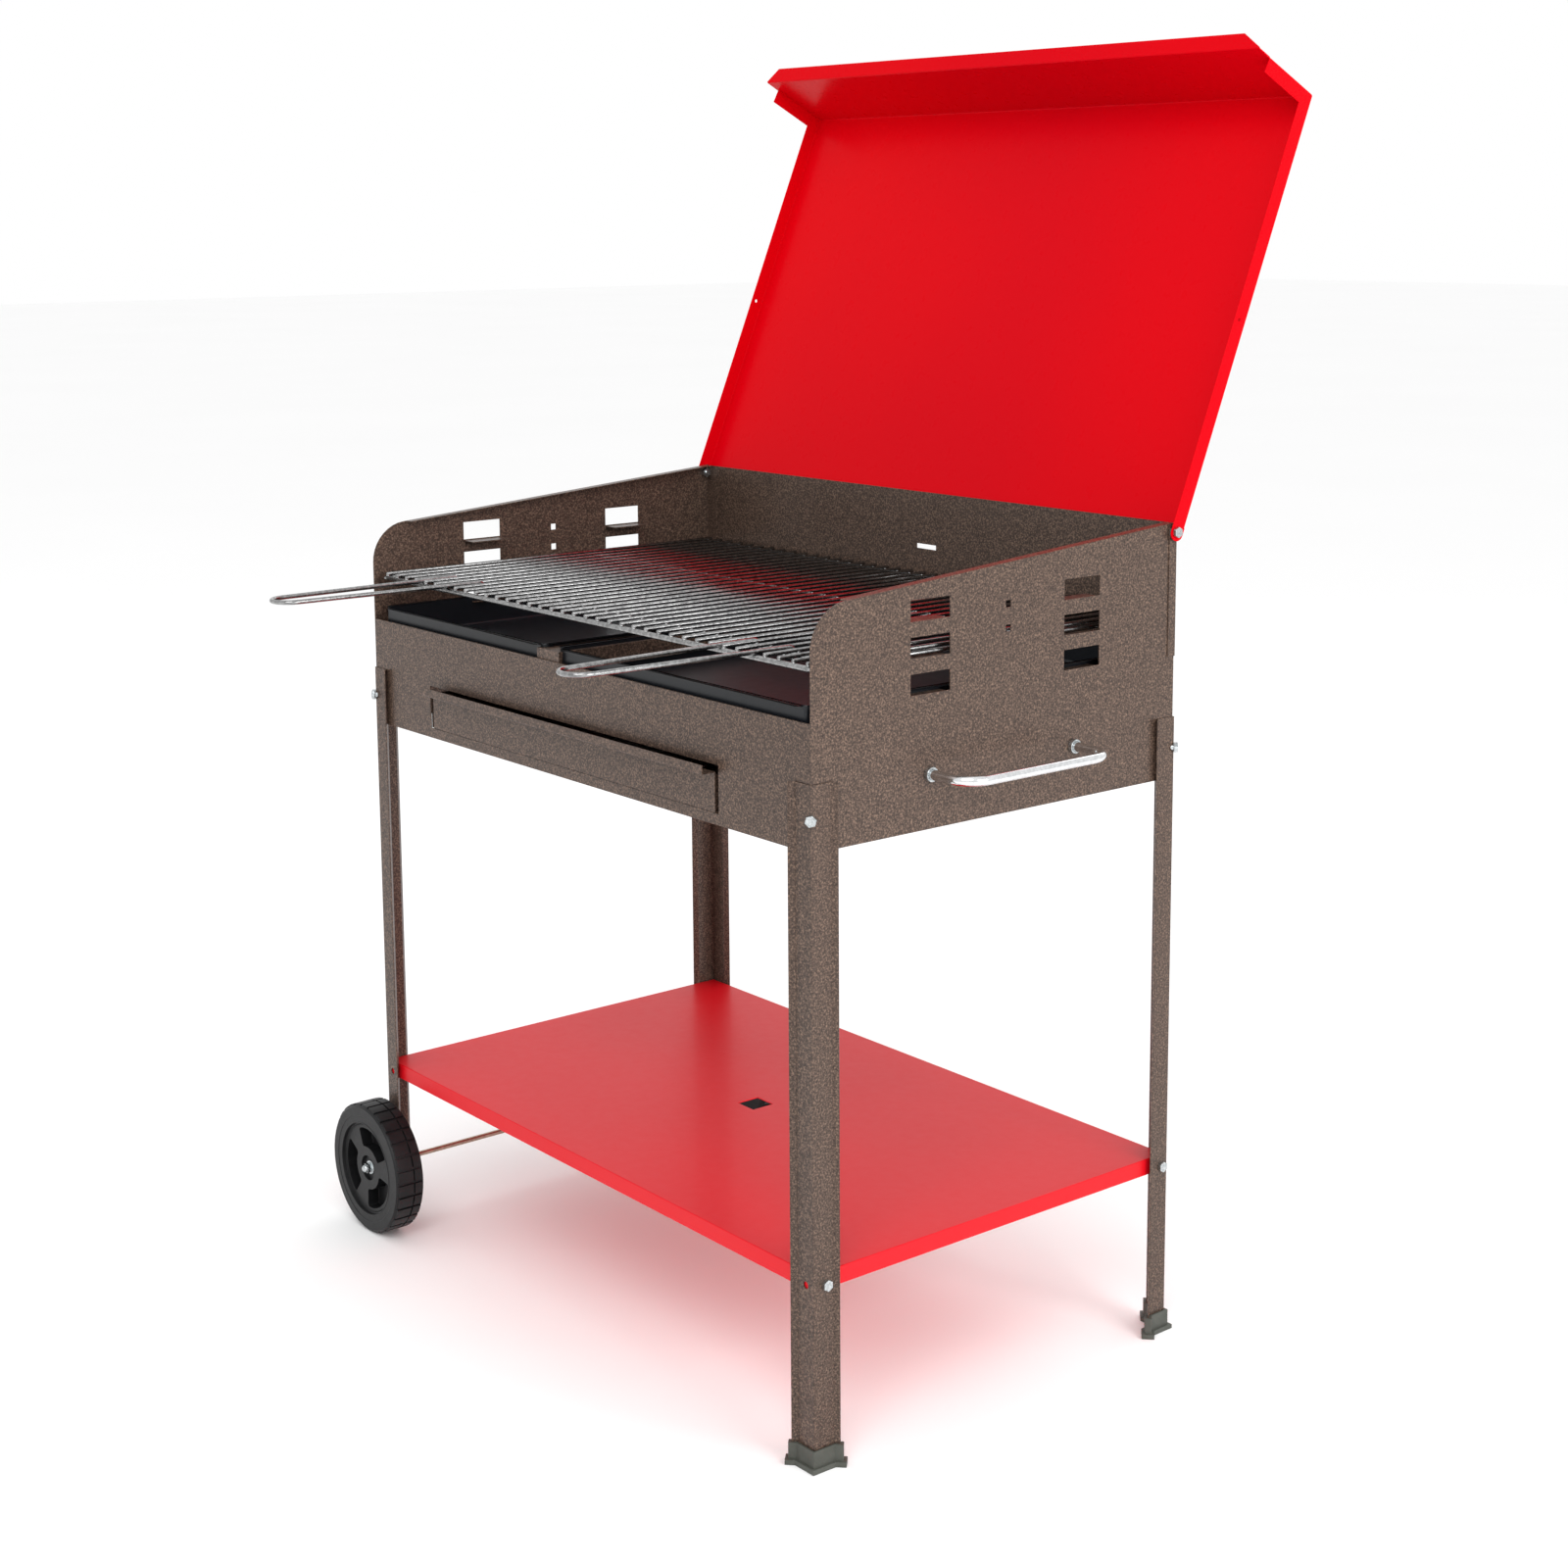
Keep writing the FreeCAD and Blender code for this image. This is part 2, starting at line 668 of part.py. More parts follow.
def make_side_handle():
    """Bent round handle of the right side, with a collar and a nut at each end."""
    wall = "body_width / 2"
    bar_x = f"{wall} + handle_reach"
    arm = "handle_reach - handle_bend + handle_end"
    parts = [cylinder(
        "handle_bar", "handle_rod", "2 * (handle_half - handle_bend)", bar_x, "-(handle_half - handle_bend)",
        "handle_height", "y",
    )]
    collars = []
    for sign, start in ((-1, 270), (1, 0)):
        tag = f"handle_{sign + 1}"
        y = f"{sign} * handle_half"
        parts.append(cylinder(tag + "_arm", "handle_rod", arm, f"{wall} - handle_end", y, "handle_height", "x"))
        parts.append(ring(
            tag + "_bend", "handle_bend", "handle_rod", start, start + 90, f"{bar_x} - handle_bend",
            f"{sign} * (handle_half - handle_bend)", "handle_height",
        ))
        for piece, maker, radius, low in (
            ("collar", cylinder, "handle_collar", wall),
            ("nut", hexagon, "handle_nut", f"{wall} - sheet - nut_height"),
        ):
            blank = maker(f"{tag}_{piece}_blank", radius, "nut_height", low, y, "handle_height", "x")
            hole = cylinder(
                f"{tag}_{piece}_hole", "handle_hole", "2 * drill", f"{wall} - drill", y, "handle_height", "x"
            )
            collars.append(cut(f"{tag}_{piece}", blank, [hole]))
    node("side_handle", fuse("side_handle", parts))
    node("handle_nuts", group("handle_nuts", collars))


# ---------------------------------------------------------------- lid and hinge


def make_lid():
    """Lid skin with a folded front lip, a grip flange and two side flanges, standing open."""
    skin = "-lid_skin"
    fold = "(lid_rear + lid_length)"
    lip_c = "cos(lid_bend)"
    lip_s = "sin(lid_bend)"
    inner = "sheet * tan(lid_bend / 2)"
    profile = [
        ("lid_rear", skin),
        (fold, skin),
        (f"{fold} + lip_length * {lip_c}", f"{skin} + lip_length * {lip_s}"),
        (
            f"{fold} + lip_length * {lip_c} - sheet * {lip_s}",
            f"{skin} + lip_length * {lip_s} + sheet * {lip_c}",
        ),
        (f"{fold} - {inner}", f"{skin} + sheet"),
        ("lid_rear", f"{skin} + sheet"),
    ]
    skin_x = "-(lid_width / 2 - sheet)"
    parts = [prism("lid_skin_sheet", "YZ_Plane", profile, "lid_width - 2 * sheet", skin_x)]
    reach = "(lip_length - lip_flange_stop)"
    corner = "lid_flange * tan(lid_bend / 2)"
    ear = "(lid_flange / 2)"
    flange = [
        (fold, skin),
        (f"{fold} + {reach} * {lip_c}", f"{skin} + {reach} * {lip_s}"),
        (
            f"{fold} + {reach} * {lip_c} - lid_flange * {lip_s}",
            f"{skin} + {reach} * {lip_s} + lid_flange * {lip_c}",
        ),
        (f"{fold} - {corner}", f"{skin} + lid_flange"),
    ]
    for step in EAR_ARC:
        flange.append((f"{ear} * cos({step})", f"{skin} + {ear} + {ear} * sin({step})"))
    for word, side in SIDES.items():
        name = "lid_flange_" + word
        parts.append(prism(
            name, "YZ_Plane", flange, "sheet", span(side, "lid_width / 2 - sheet", "lid_width / 2")))
    grip = doc.addObject("Part::Wedge", "lid_grip")
    wide = "lid_width / 2 - sheet"
    bind(grip, Xmin=f"-({wide})", Xmax=wide, X2min=f"-({wide} - grip_corner)", X2max=f"{wide} - grip_corner")
    bind(grip, Ymin="0", Ymax="grip_length", Zmin="0", Zmax="sheet", Z2min="0", Z2max="sheet")
    tip_y = f"{fold} + lip_length * {lip_c}"
    tip_z = f"{skin} + lip_length * {lip_s}"
    turn = SIZES["lid_bend"] - SIZES["grip_bend"]
    place(grip, "0", f"{tip_y} - sheet", tip_z, about("x", turn))
    parts.append(grip)
    holes = []
    for word, side in SIDES.items():
        low = span(side, "lid_width / 2 - punch", "lid_width / 2 + punch")
        holes.append(cylinder("lid_hinge_hole_" + word, "hinge_hole", "2 * punch", low, "0", "0", "x"))
        holes.append(cylinder("lid_hole_" + word, "lid_hole", "2 * punch", low, "lid_hole_place", "0", "x"))
    lid = cut("lid_shell", fuse("lid_sheet", parts), holes)
    place(lid, "0", "hinge_place", "hinge_height", about("x", 90))
    lid.setExpression("Placement.Rotation.Angle", expression("90 - lid_lean"))
    node("lid_shell", lid)


def make_hinges():
    """Hinge bolts, the spacers between lid and body, and the nuts inside."""
    wall = "body_width / 2"
    lid_outer = "lid_width / 2"
    pieces = {"hinge_bolts": [], "hinge_spacers": [], "hinge_nuts": []}
    for word, side in SIDES.items():

        def bar(maker, tag, radius, near, far):
            low = span(side, near, far)
            long = f"({far}) - ({near})"
            return maker(f"{tag}_{word}", radius, long, low, "hinge_place", "hinge_height", "x")

        head_near = f"{lid_outer} + running_gap"
        head = bar(hexagon, "hinge_head", "hex_radius", head_near, f"{head_near} + head_height")
        shank = bar(cylinder, "hinge_shank", "bolt_radius", f"{wall} - hinge_end", head_near)
        pieces["hinge_bolts"].append(fuse("hinge_bolt_" + word, [head, shank]))
        hole = bar(cylinder, "hinge_spacer_hole", "nut_hole", f"{wall} - punch", f"{lid_outer} + punch")
        spacer_far = f"{lid_outer} - sheet - running_gap"
        ring_blank = bar(hexagon, "hinge_spacer_blank", "hex_radius", f"{wall} + sheet", spacer_far)
        pieces["hinge_spacers"].append(cut("hinge_spacer_" + word, ring_blank, [hole]))
        hole = bar(cylinder, "hinge_nut_hole", "nut_hole", f"{wall} - drill", f"{wall} + punch")
        blank = bar(hexagon, "hinge_nut_blank", "hex_radius", f"{wall} - sheet - nut_height", f"{wall} - sheet")
        pieces["hinge_nuts"].append(cut("hinge_nut_" + word, blank, [hole]))
    for label, solids in pieces.items():
        node(label, group(label, solids))


# ---------------------------------------------------------------- ash drawer


def make_drawer():
    """Ash drawer: a front with a gutter-like grip and a shallow tray behind it."""
    front_y = "-body_depth / 2"
    wide = "drawer_right - drawer_left"
    tall = "drawer_top - drawer_bottom"
    lip_y = f"{front_y} - gutter"
    web_z = "drawer_top - sheet"
    parts = [
        box("drawer_plate", "drawer_left", front_y, "drawer_bottom", wide, "sheet", tall),
        box("drawer_web", "drawer_left", lip_y, web_z, wide, "gutter + sheet", "sheet"),
        box("drawer_lip", "drawer_left", lip_y, web_z, wide, "sheet", "gutter_lip - drawer_top + sheet"),
    ]
    node("ash_drawer_front", fuse("ash_drawer_front", parts))
    tray_x = "drawer_left + drawer_side_gap"
    tray_wide = f"{wide} - 2 * drawer_side_gap"
    tray_y = f"{front_y} + sheet"
    tall = "drawer_wall_top - drawer_bottom"
    outside = box("tray_outside", tray_x, tray_y, "drawer_bottom + tray_lift", tray_wide, "drawer_depth", tall)
    inside = box(
        "tray_inside", f"{tray_x} + sheet", f"{tray_y} + sheet", "drawer_bottom + tray_lift + sheet",
        f"{tray_wide} - 2 * sheet", "drawer_depth - 2 * sheet", tall,
    )
    node("ash_drawer_tray", cut("ash_drawer_tray", outside, [inside]))
    for word, side in SIDES.items():
        name = "drawer_runner_" + word
        web_x = "opening_right + running_gap" if side > 0 else "opening_left - running_gap - sheet"
        ledge_x = "opening_right + running_gap + sheet - runner_ledge" if side > 0 else web_x
        run_y = "-body_depth / 2 + 2 * sheet"
        run = "body_depth - 4 * sheet"
        web = box(name + "_web", web_x, run_y, "opening_bottom", "sheet", run, "runner_top - opening_bottom")
        ledge = box(name + "_ledge", ledge_x, run_y, "opening_bottom", "runner_ledge", run, "sheet")
        node(name, fuse(name, [web, ledge]))


# ---------------------------------------------------------------- charcoal pans


def make_pan(word, left, right):
    """Enamelled pan with a flat rim folded down at its edge."""
    name = "charcoal_pan_" + word
    wide = f"({right}) - ({left})"
    deep = "2 * pan_half_depth"
    rim = box(name + "_rim", left, "-pan_half_depth", "pan_top - pan_rim_fold", wide, deep, "pan_rim_fold")
    under = box(
        name + "_under", f"({left}) + sheet", "-pan_half_depth + sheet", "pan_top - pan_rim_fold - over",
        f"{wide} - 2 * sheet", f"{deep} - 2 * sheet", "pan_rim_fold + over - sheet",
    )
    tub = box(
        name + "_tub", f"({left}) + pan_rim", "-pan_half_depth + pan_rim", "pan_floor",
        f"{wide} - 2 * pan_rim", f"{deep} - 2 * pan_rim", "pan_top - pan_floor",
    )
    hollow = box(
        name + "_hollow",
        f"({left}) + pan_rim + sheet", "-pan_half_depth + pan_rim + sheet", "pan_floor + sheet",
        f"{wide} - 2 * (pan_rim + sheet)", f"{deep} - 2 * (pan_rim + sheet)", "pan_top - pan_floor",
    )
    skirt = cut(name + "_skirt", rim, [under])
    node(name, cut(name, fuse(name + "_blank", [skirt, tub]), [hollow]))


def make_pan_bar():
    """Folded bar between front and back wall that carries the inner rims of both pans."""
    left = "pan_left_end - bar_overlap"
    wide = "pan_right_end - pan_left_end + 2 * bar_overlap"
    front = "-body_depth / 2 + 2 * sheet"
    long = "body_depth - 4 * sheet"
    top = "bar_top - sheet"
    fold_z = "bar_top - bar_fold"
    parts = [box("bar_plate", left, front, top, wide, long, "sheet")]
    for word, x in (("left", left), ("right", f"{left} + {wide} - sheet")):
        parts.append(box("bar_fold_" + word, x, front, fold_z, "sheet", long, "bar_fold"))
    for word, y in (("front", front), ("rear", f"{front} + {long} - sheet")):
        parts.append(box("bar_end_" + word, left, y, fold_z, wide, "sheet", "bar_fold"))
    node("pan_support_bar", fuse("pan_support_bar", parts))


# ---------------------------------------------------------------- grate


def make_grate():
    """Chromed grate: a frame of thick rods with thin wires welded on top."""
    rods = []
    for word in ("rod_a", "rod_b", "rod_c", "rod_d"):
        rods.append(cylinder(
            "grate_" + word, "grate_rod", "2 * rail_place", "-rail_place", word, "grate_level", "x"))
    for word, side in SIDES.items():
        rail_x = f"{side} * rail_place"
        rods.append(cylinder(
            "grate_rail_" + word, "grate_rod", "rod_d - rod_a", rail_x, "rod_a", "grate_level", "y"))
    node("grate_frame", fuse("grate_frame", rods))
    wires = []
    for index in range(WIRES):
        step = index - (WIRES - 1) / 2
        wires.append(cylinder(
            f"grate_wire_{index + 1}", "wire", "wire_rear - wire_front", f"{step} * wire_pitch", "wire_front",
            "grate_level + grate_rod + wire", "y",
        ))
    node("grate_wires", group("grate_wires", wires))


def make_grate_handle(word, side):
    """Wire handle: two legs hooked round the second rod, laid over the first, joined by a round bow."""
    name = "grate_handle_" + word
    level = "grate_level + grate_rod + grip_wire"
    middle = f"{side} * grip_place"
    bow_y = "grip_front + grip_wire + grip_half"
    parts = [ring(name + "_bow", "grip_half", "grip_wire", 180, 360, middle, bow_y, level)]
    for sign in (-1, 1):
        tag = f"{name}_{sign + 1}"
        x = f"{middle} + {sign} * grip_half"
        parts.append(cylinder(tag + "_leg", "grip_wire", f"rod_b - ({bow_y})", x, bow_y, level, "y"))
        parts.append(ring(
            tag + "_hook", "grate_rod + grip_wire", "grip_wire", -90, 180,
            x, "rod_b", "grate_level", about("y", 90),
        ))
    node(name, fuse(name, parts))


# ---------------------------------------------------------------- build and check

for word, side in SIDES.items():
    make_side_panel(word, side)
make_walls()
make_wind_guard()
for corner, (sx, sy) in CORNERS.items():
    make_leg(corner, sx, sy)
    if sx > 0:
        make_foot(corner, sx, sy)
make_shelf()
make_wheel("front", -1)
make_wheel("rear", 1)
make_axle()
make_side_handle()
make_corner_fasteners()
make_shelf_fasteners()
make_lid()
make_hinges()
make_drawer()
make_pan("left", "-pan_outer", "pan_left_end")
make_pan("right", "pan_right_end", "pan_outer")
make_pan_bar()
make_grate()
for word, side in SIDES.items():
    make_grate_handle(word, side)

doc.recompute()

for obj in doc.Objects:
    if "Invalid" in obj.State or "Error" in obj.State:
        raise RuntimeError(f"{obj.Name} is {obj.State}")
for label, obj in nodes.items():
    if obj.Shape.isNull() or not obj.Shape.isValid() or not obj.Shape.Solids:
        raise RuntimeError(f"{label} has no valid solid")
for label, obj in nodes.items():
    obj.Shape.exportStep(f"parts/{label}.step")
    bounds = obj.Shape.BoundBox
    print(
        f"{label}: {len(obj.Shape.Solids)} solids, {obj.Shape.Volume / 1000:.1f} cm3, "
        f"x {bounds.XMin:.1f}..{bounds.XMax:.1f} y {bounds.YMin:.1f}..{bounds.YMax:.1f} "
        f"z {bounds.ZMin:.1f}..{bounds.ZMax:.1f}"
    )
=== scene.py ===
"""Looks of the trolley charcoal grill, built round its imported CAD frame."""

import logging
import math
from dataclasses import dataclass, field
from enum import Enum
from typing import Iterable, Optional, Sequence

import bmesh
import bpy
from mathutils import Matrix, Vector

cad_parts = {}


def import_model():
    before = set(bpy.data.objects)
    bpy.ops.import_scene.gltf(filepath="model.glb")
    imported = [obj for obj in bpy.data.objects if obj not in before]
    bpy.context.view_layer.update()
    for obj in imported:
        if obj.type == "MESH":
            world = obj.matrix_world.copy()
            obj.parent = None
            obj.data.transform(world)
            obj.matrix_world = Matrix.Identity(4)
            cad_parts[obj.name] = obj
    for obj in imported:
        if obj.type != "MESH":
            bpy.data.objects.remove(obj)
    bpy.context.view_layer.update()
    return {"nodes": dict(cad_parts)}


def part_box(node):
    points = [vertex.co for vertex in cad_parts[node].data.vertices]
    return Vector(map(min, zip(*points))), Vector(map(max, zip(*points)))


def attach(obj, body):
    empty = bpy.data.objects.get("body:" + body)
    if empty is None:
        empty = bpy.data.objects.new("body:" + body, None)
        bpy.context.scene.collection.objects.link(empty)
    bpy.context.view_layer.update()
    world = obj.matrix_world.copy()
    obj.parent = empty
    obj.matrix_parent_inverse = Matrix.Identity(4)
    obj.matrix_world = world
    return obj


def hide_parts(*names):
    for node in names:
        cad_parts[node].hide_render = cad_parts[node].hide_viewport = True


log = logging.getLogger("charcoal_grill")
Colour = tuple[float, float, float]
Socket = bpy.types.NodeSocket
Edge = bmesh.types.BMEdge
Vert = bmesh.types.BMVert

MM = 0.001
STEEL = 1.2 * MM
NEAR = 0.01 * MM
SLACK = 0.1 * MM
ALONG_X = Vector((1, 0, 0))
ALONG_Y = Vector((0, 1, 0))
ALONG_Z = Vector((0, 0, 1))


class Signed(Enum):
    """Two ends of one axis, each with the sign of its coordinate."""

    @property
    def word(self) -> str:
        """Lower-case word used in node names."""
        return self.name.lower()


class Side(Signed):
    """Left or right of the grill, as the sign of X."""

    LEFT = -1
    RIGHT = 1


class End(Signed):
    """Front or rear of the grill, as the sign of Y."""

    FRONT = -1
    REAR = 1


class Slot(Enum):
    """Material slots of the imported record."""

    BRONZE = "bronze_enamel"
    RED = "red_enamel"
    BLACK = "black_enamel"
    CHROME = "chrome"
    ZINC = "zinc"
    TYRE = "black_plastic"
    FOOT = "grey_plastic"


# ------------------------------------------------------------------ finishes


class Nodes:
    """Small helper that wires one material's node tree."""

    def __init__(self, name: str) -> None:
        """Start an empty material.

        Args:
            name: Name of the material.
        """
        self.material = bpy.data.materials.new(name)
        self.material.use_nodes = True
        self.tree = self.material.node_tree
        self.shader = next(n for n in self.tree.nodes if n.type == "BSDF_PRINCIPLED")
        self.place = self.add("ShaderNodeTexCoord").outputs["Object"]

    def add(self, kind: str, **values: object) -> bpy.types.Node:
        """Add a node and set its properties or unlinked inputs.

        Args:
            kind: Blender's node type.
            values: Property or input names with their values.

        Returns:
            The new node.
        """
        node = self.tree.nodes.new(kind)
        for name, value in values.items():
            if hasattr(node, name):
                setattr(node, name, value)
            else:
                node.inputs[name.replace("_", " ")].default_value = value
        return node

    def link(self, source: Socket, target: Socket) -> None:
        """Join an output to an input."""
        self.tree.links.new(source, target)

    def feed(self, name: str, source: Socket) -> None:
        """Drive one input of the shader."""
        self.link(source, self.shader.inputs[name])

    def set(self, **values: float) -> None:
        """Set plain numbers on the shader's own inputs."""
        for name, value in values.items():
            self.shader.inputs[name.replace("_", " ")].default_value = value

    def noise(self, scale: float, detail: float = 2.0, roughness: float = 0.5) -> Socket:
        """Noise pattern on object coordinates.

        Args:
            scale: Pattern repeats per metre.
            detail: Octaves of the noise.
            roughness: Weight of the finer octaves.

        Returns:
            The pattern's value socket.
        """
        node = self.add("ShaderNodeTexNoise", Scale=scale, Detail=detail, Roughness=roughness)
        self.link(self.place, node.inputs["Vector"])
        return node.outputs["Fac"]

    def cells(self, scale: float) -> Socket:
        """Rounded cells on object coordinates.

        Args:
            scale: Cells per metre.

        Returns:
            The distance socket.
        """
        node = self.add("ShaderNodeTexVoronoi", feature="SMOOTH_F1", Scale=scale)
        self.link(self.place, node.inputs["Vector"])
        return node.outputs["Distance"]

    def ramp(self, factor: Socket, stops: Sequence[tuple[float, Colour]]) -> Socket:
        """Colour ramp driven by a pattern.

        Args:
            factor: Pattern socket.
            stops: Positions with their linear colours.

        Returns:
            The colour socket.
        """
        node = self.add("ShaderNodeValToRGB")
        self.link(factor, node.inputs["Fac"])
        elements = node.color_ramp.elements
        while len(elements) < len(stops):
            elements.new(0.5)
        for element, (position, colour) in zip(elements, stops):
            element.position = position
            element.color = (*colour, 1.0)
        return node.outputs["Color"]

    def span(self, factor: Socket, low: float, high: float) -> Socket:
        """Map a pattern from 0..1 to a range.

        Args:
            factor: Pattern socket.
            low: Value at 0.
            high: Value at 1.

        Returns:
            The mapped value socket.
        """
        node = self.add("ShaderNodeMapRange", To_Min=low, To_Max=high)
        self.link(factor, node.inputs["Value"])
        return node.outputs["Result"]

    def bump(self, height: Socket, depth: float, strength: float = 1.0) -> None:
        """Raise the surface by a pattern, over any earlier one.

        Args:
            height: Pattern socket.
            depth: Height of the pattern in metres.
            strength: Share of the bump that is kept.
        """
        node = self.add("ShaderNodeBump", Strength=strength, Distance=depth)
        before = self.shader.inputs["Normal"].links
        if before:
            self.link(before[0].from_socket, node.inputs["Normal"])
        self.link(height, node.inputs["Height"])
        self.feed("Normal", node.outputs["Normal"])


@dataclass(frozen=True)
class HammeredEnamel:
    """Bronze hammertone stove enamel with copper flecks. Patterns are in repeats per metre."""

    dark: Colour = (0.018, 0.011, 0.008)
    brown: Colour = (0.068, 0.043, 0.032)
    copper: Colour = (0.27, 0.175, 0.125)
    flecks: float = 520.0
    clouds: float = 160.0
    dimples: float = 420.0
    dimple_depth: float = 0.22 * MM
    grain: float = 1300.0
    grain_depth: float = 0.05 * MM

    def material(self) -> bpy.types.Material:
        """Build the material.

        Returns:
            The material.
        """
        nodes = Nodes("hammered_bronze")
        fleck = nodes.noise(self.flecks, detail=3.0, roughness=0.66)
        stops = ((0.29, self.dark), (0.50, self.brown), (0.76, self.copper))
        nodes.feed("Base Color", nodes.ramp(fleck, stops))
        nodes.feed("Roughness", nodes.span(nodes.noise(self.clouds), 0.30, 0.46))
        nodes.bump(nodes.cells(self.dimples), self.dimple_depth, strength=0.55)
        nodes.bump(nodes.noise(self.grain), self.grain_depth, strength=0.4)
        nodes.set(Metallic=0.2, Coat_Weight=0.08, Coat_Roughness=0.2, Specular_IOR_Level=0.35)
        return nodes.material


@dataclass(frozen=True)
class GlossEnamel:
    """Smooth enamel with a faint orange peel. Patterns are in repeats per metre."""

    name: str
    deep: Colour
    bright: Colour
    roughness: float
    coat: float
    shine: float
    clouds: float = 1.6
    smears: float = 90.0
    smear_range: float = 0.09
    peel: float = 420.0
    peel_depth: float = 0.06 * MM

    def material(self) -> bpy.types.Material:
        """Build the material.

        Returns:
            The material.
        """
        nodes = Nodes(self.name)
        stops = ((0.30, self.deep), (0.70, self.bright))
        nodes.feed("Base Color", nodes.ramp(nodes.noise(self.clouds), stops))
        smear = nodes.noise(self.smears, detail=4.0)
        rough = nodes.span(smear, self.roughness, self.roughness + self.smear_range)
        nodes.feed("Roughness", rough)
        nodes.bump(nodes.noise(self.peel), self.peel_depth, strength=0.5)
        nodes.set(Coat_Weight=self.coat, Coat_Roughness=0.12, Specular_IOR_Level=self.shine)
        return nodes.material


@dataclass(frozen=True)
class PlatedMetal:
    """Chromed, zinc-plated or plain steel. The grain is in repeats per metre."""

    name: str
    tint_low: Colour
    tint_high: Colour
    rough_low: float
    rough_high: float
    grain: float = 240.0
    scratch_depth: float = 0.02 * MM

    def material(self) -> bpy.types.Material:
        """Build the material.

        Returns:
            The material.
        """
        nodes = Nodes(self.name)
        stops = ((0.32, self.tint_low), (0.66, self.tint_high))
        nodes.feed("Base Color", nodes.ramp(nodes.noise(self.grain, detail=3.0), stops))
        fine = nodes.noise(2.0 * self.grain, detail=3.0)
        nodes.feed("Roughness", nodes.span(fine, self.rough_low, self.rough_high))
        nodes.bump(nodes.noise(6.0 * self.grain), self.scratch_depth, strength=0.4)
        nodes.set(Metallic=1.0)
        return nodes.material


@dataclass(frozen=True)
class MouldedPlastic:
    """Matt moulded plastic with a fine grain. Patterns are in repeats per metre."""

    name: str
    shade: Colour
    worn: Colour
    roughness: float
    mottle: float = 60.0
    scuffs: float = 300.0
    grain: float = 1500.0
    grain_depth: float = 0.06 * MM

    def material(self) -> bpy.types.Material:
        """Build the material.

        Returns:
            The material.
        """
        nodes = Nodes(self.name)
        mottle = nodes.noise(self.mottle, detail=5.0, roughness=0.6)
        nodes.feed("Base Color", nodes.ramp(mottle, ((0.35, self.shade), (0.75, self.worn))))
        scuff = nodes.noise(self.scuffs, detail=3.0)
        rough = nodes.span(scuff, self.roughness - 0.06, self.roughness + 0.08)
        nodes.feed("Roughness", rough)
        nodes.bump(nodes.noise(self.grain), self.grain_depth, strength=0.6)
        nodes.set(Specular_IOR_Level=0.3)
        return nodes.material


@dataclass
class Palette:
    """Every finish of the grill, made once."""

    made: dict[str, bpy.types.Material] = field(default_factory=dict)

    def __post_init__(self) -> None:
        """Build one material for each kind of surface."""
        finishes = {
            "bronze": HammeredEnamel(),
            "lid": GlossEnamel(
                "lid_red", (0.58, 0.0005, 0.006), (0.66, 0.0005, 0.004),
                roughness=0.24, coat=0.0, shine=0.035,
            ),
            "shelf": GlossEnamel(
                "shelf_red", (0.60, 0.002, 0.008), (0.70, 0.004, 0.012),
                roughness=0.36, coat=0.06, shine=0.20,
            ),
            "pan": GlossEnamel(
                "pan_enamel", (0.004, 0.005, 0.007), (0.010, 0.012, 0.016),
                roughness=0.30, coat=0.1, shine=0.3,
            ),
            "chrome": PlatedMetal(
                "chrome_bar", (0.66, 0.67, 0.68), (0.80, 0.81, 0.82), 0.10, 0.20,
            ),
            "wire": PlatedMetal(
                "chrome_wire", (0.20, 0.20, 0.20), (0.38, 0.38, 0.38), 0.16, 0.30,
            ),
            "axle": PlatedMetal(
                "axle_steel", (0.36, 0.30, 0.23), (0.50, 0.43, 0.34), 0.26, 0.40,
            ),
            "zinc": PlatedMetal(
                "bright_zinc", (0.36, 0.39, 0.40), (0.62, 0.65, 0.66), 0.20, 0.36, grain=420.0,
            ),
            "tyre": MouldedPlastic(
                "wheel_black", (0.0045, 0.0045, 0.005), (0.009, 0.009, 0.010), roughness=0.46,
            ),
            "foot": MouldedPlastic(
                "foot_grey", (0.060, 0.062, 0.052), (0.085, 0.088, 0.076), roughness=0.50,
            ),
        }
        for word, finish in finishes.items():
            self.made[word] = finish.material()

    def __getitem__(self, word: str) -> bpy.types.Material:
        """Material by its short word."""
        return self.made[word]


# ------------------------------------------------------------------ shop floor tools


def add_object(name: str, data: bpy.types.ID) -> bpy.types.Object:
    """Put a mesh, a light or a camera in the scene.

    Args:
        name: Name of the object.
        data: Its data.

    Returns:
        The new object.
    """
    thing = bpy.data.objects.new(name, data)
    bpy.context.scene.collection.objects.link(thing)
    return thing


def mesh_object(bm: bmesh.types.BMesh, name: str) -> bpy.types.Object:
    """Turn a bmesh into an object of the scene.

    Args:
        bm: Finished mesh. It is freed.
        name: Name of the mesh and the object.

    Returns:
        The new object.
    """
    mesh = bpy.data.meshes.new(name)
    bm.to_mesh(mesh)
    bm.free()
    return add_object(name, mesh)


def edges_of(verts: Iterable[Vert]) -> list[Edge]:
    """Edges that join vertices of one set.

    Args:
        verts: Vertices of the set.

    Returns:
        Edges with both ends in it.
    """
    chosen = set(verts)
    return [e for e in {e for v in chosen for e in v.link_edges} if set(e.verts) <= chosen]


def verts_in(geometry: Iterable[object]) -> list[Vert]:
    """Vertices among the geometry that an operator made."""
    return [g for g in geometry if isinstance(g, Vert)]


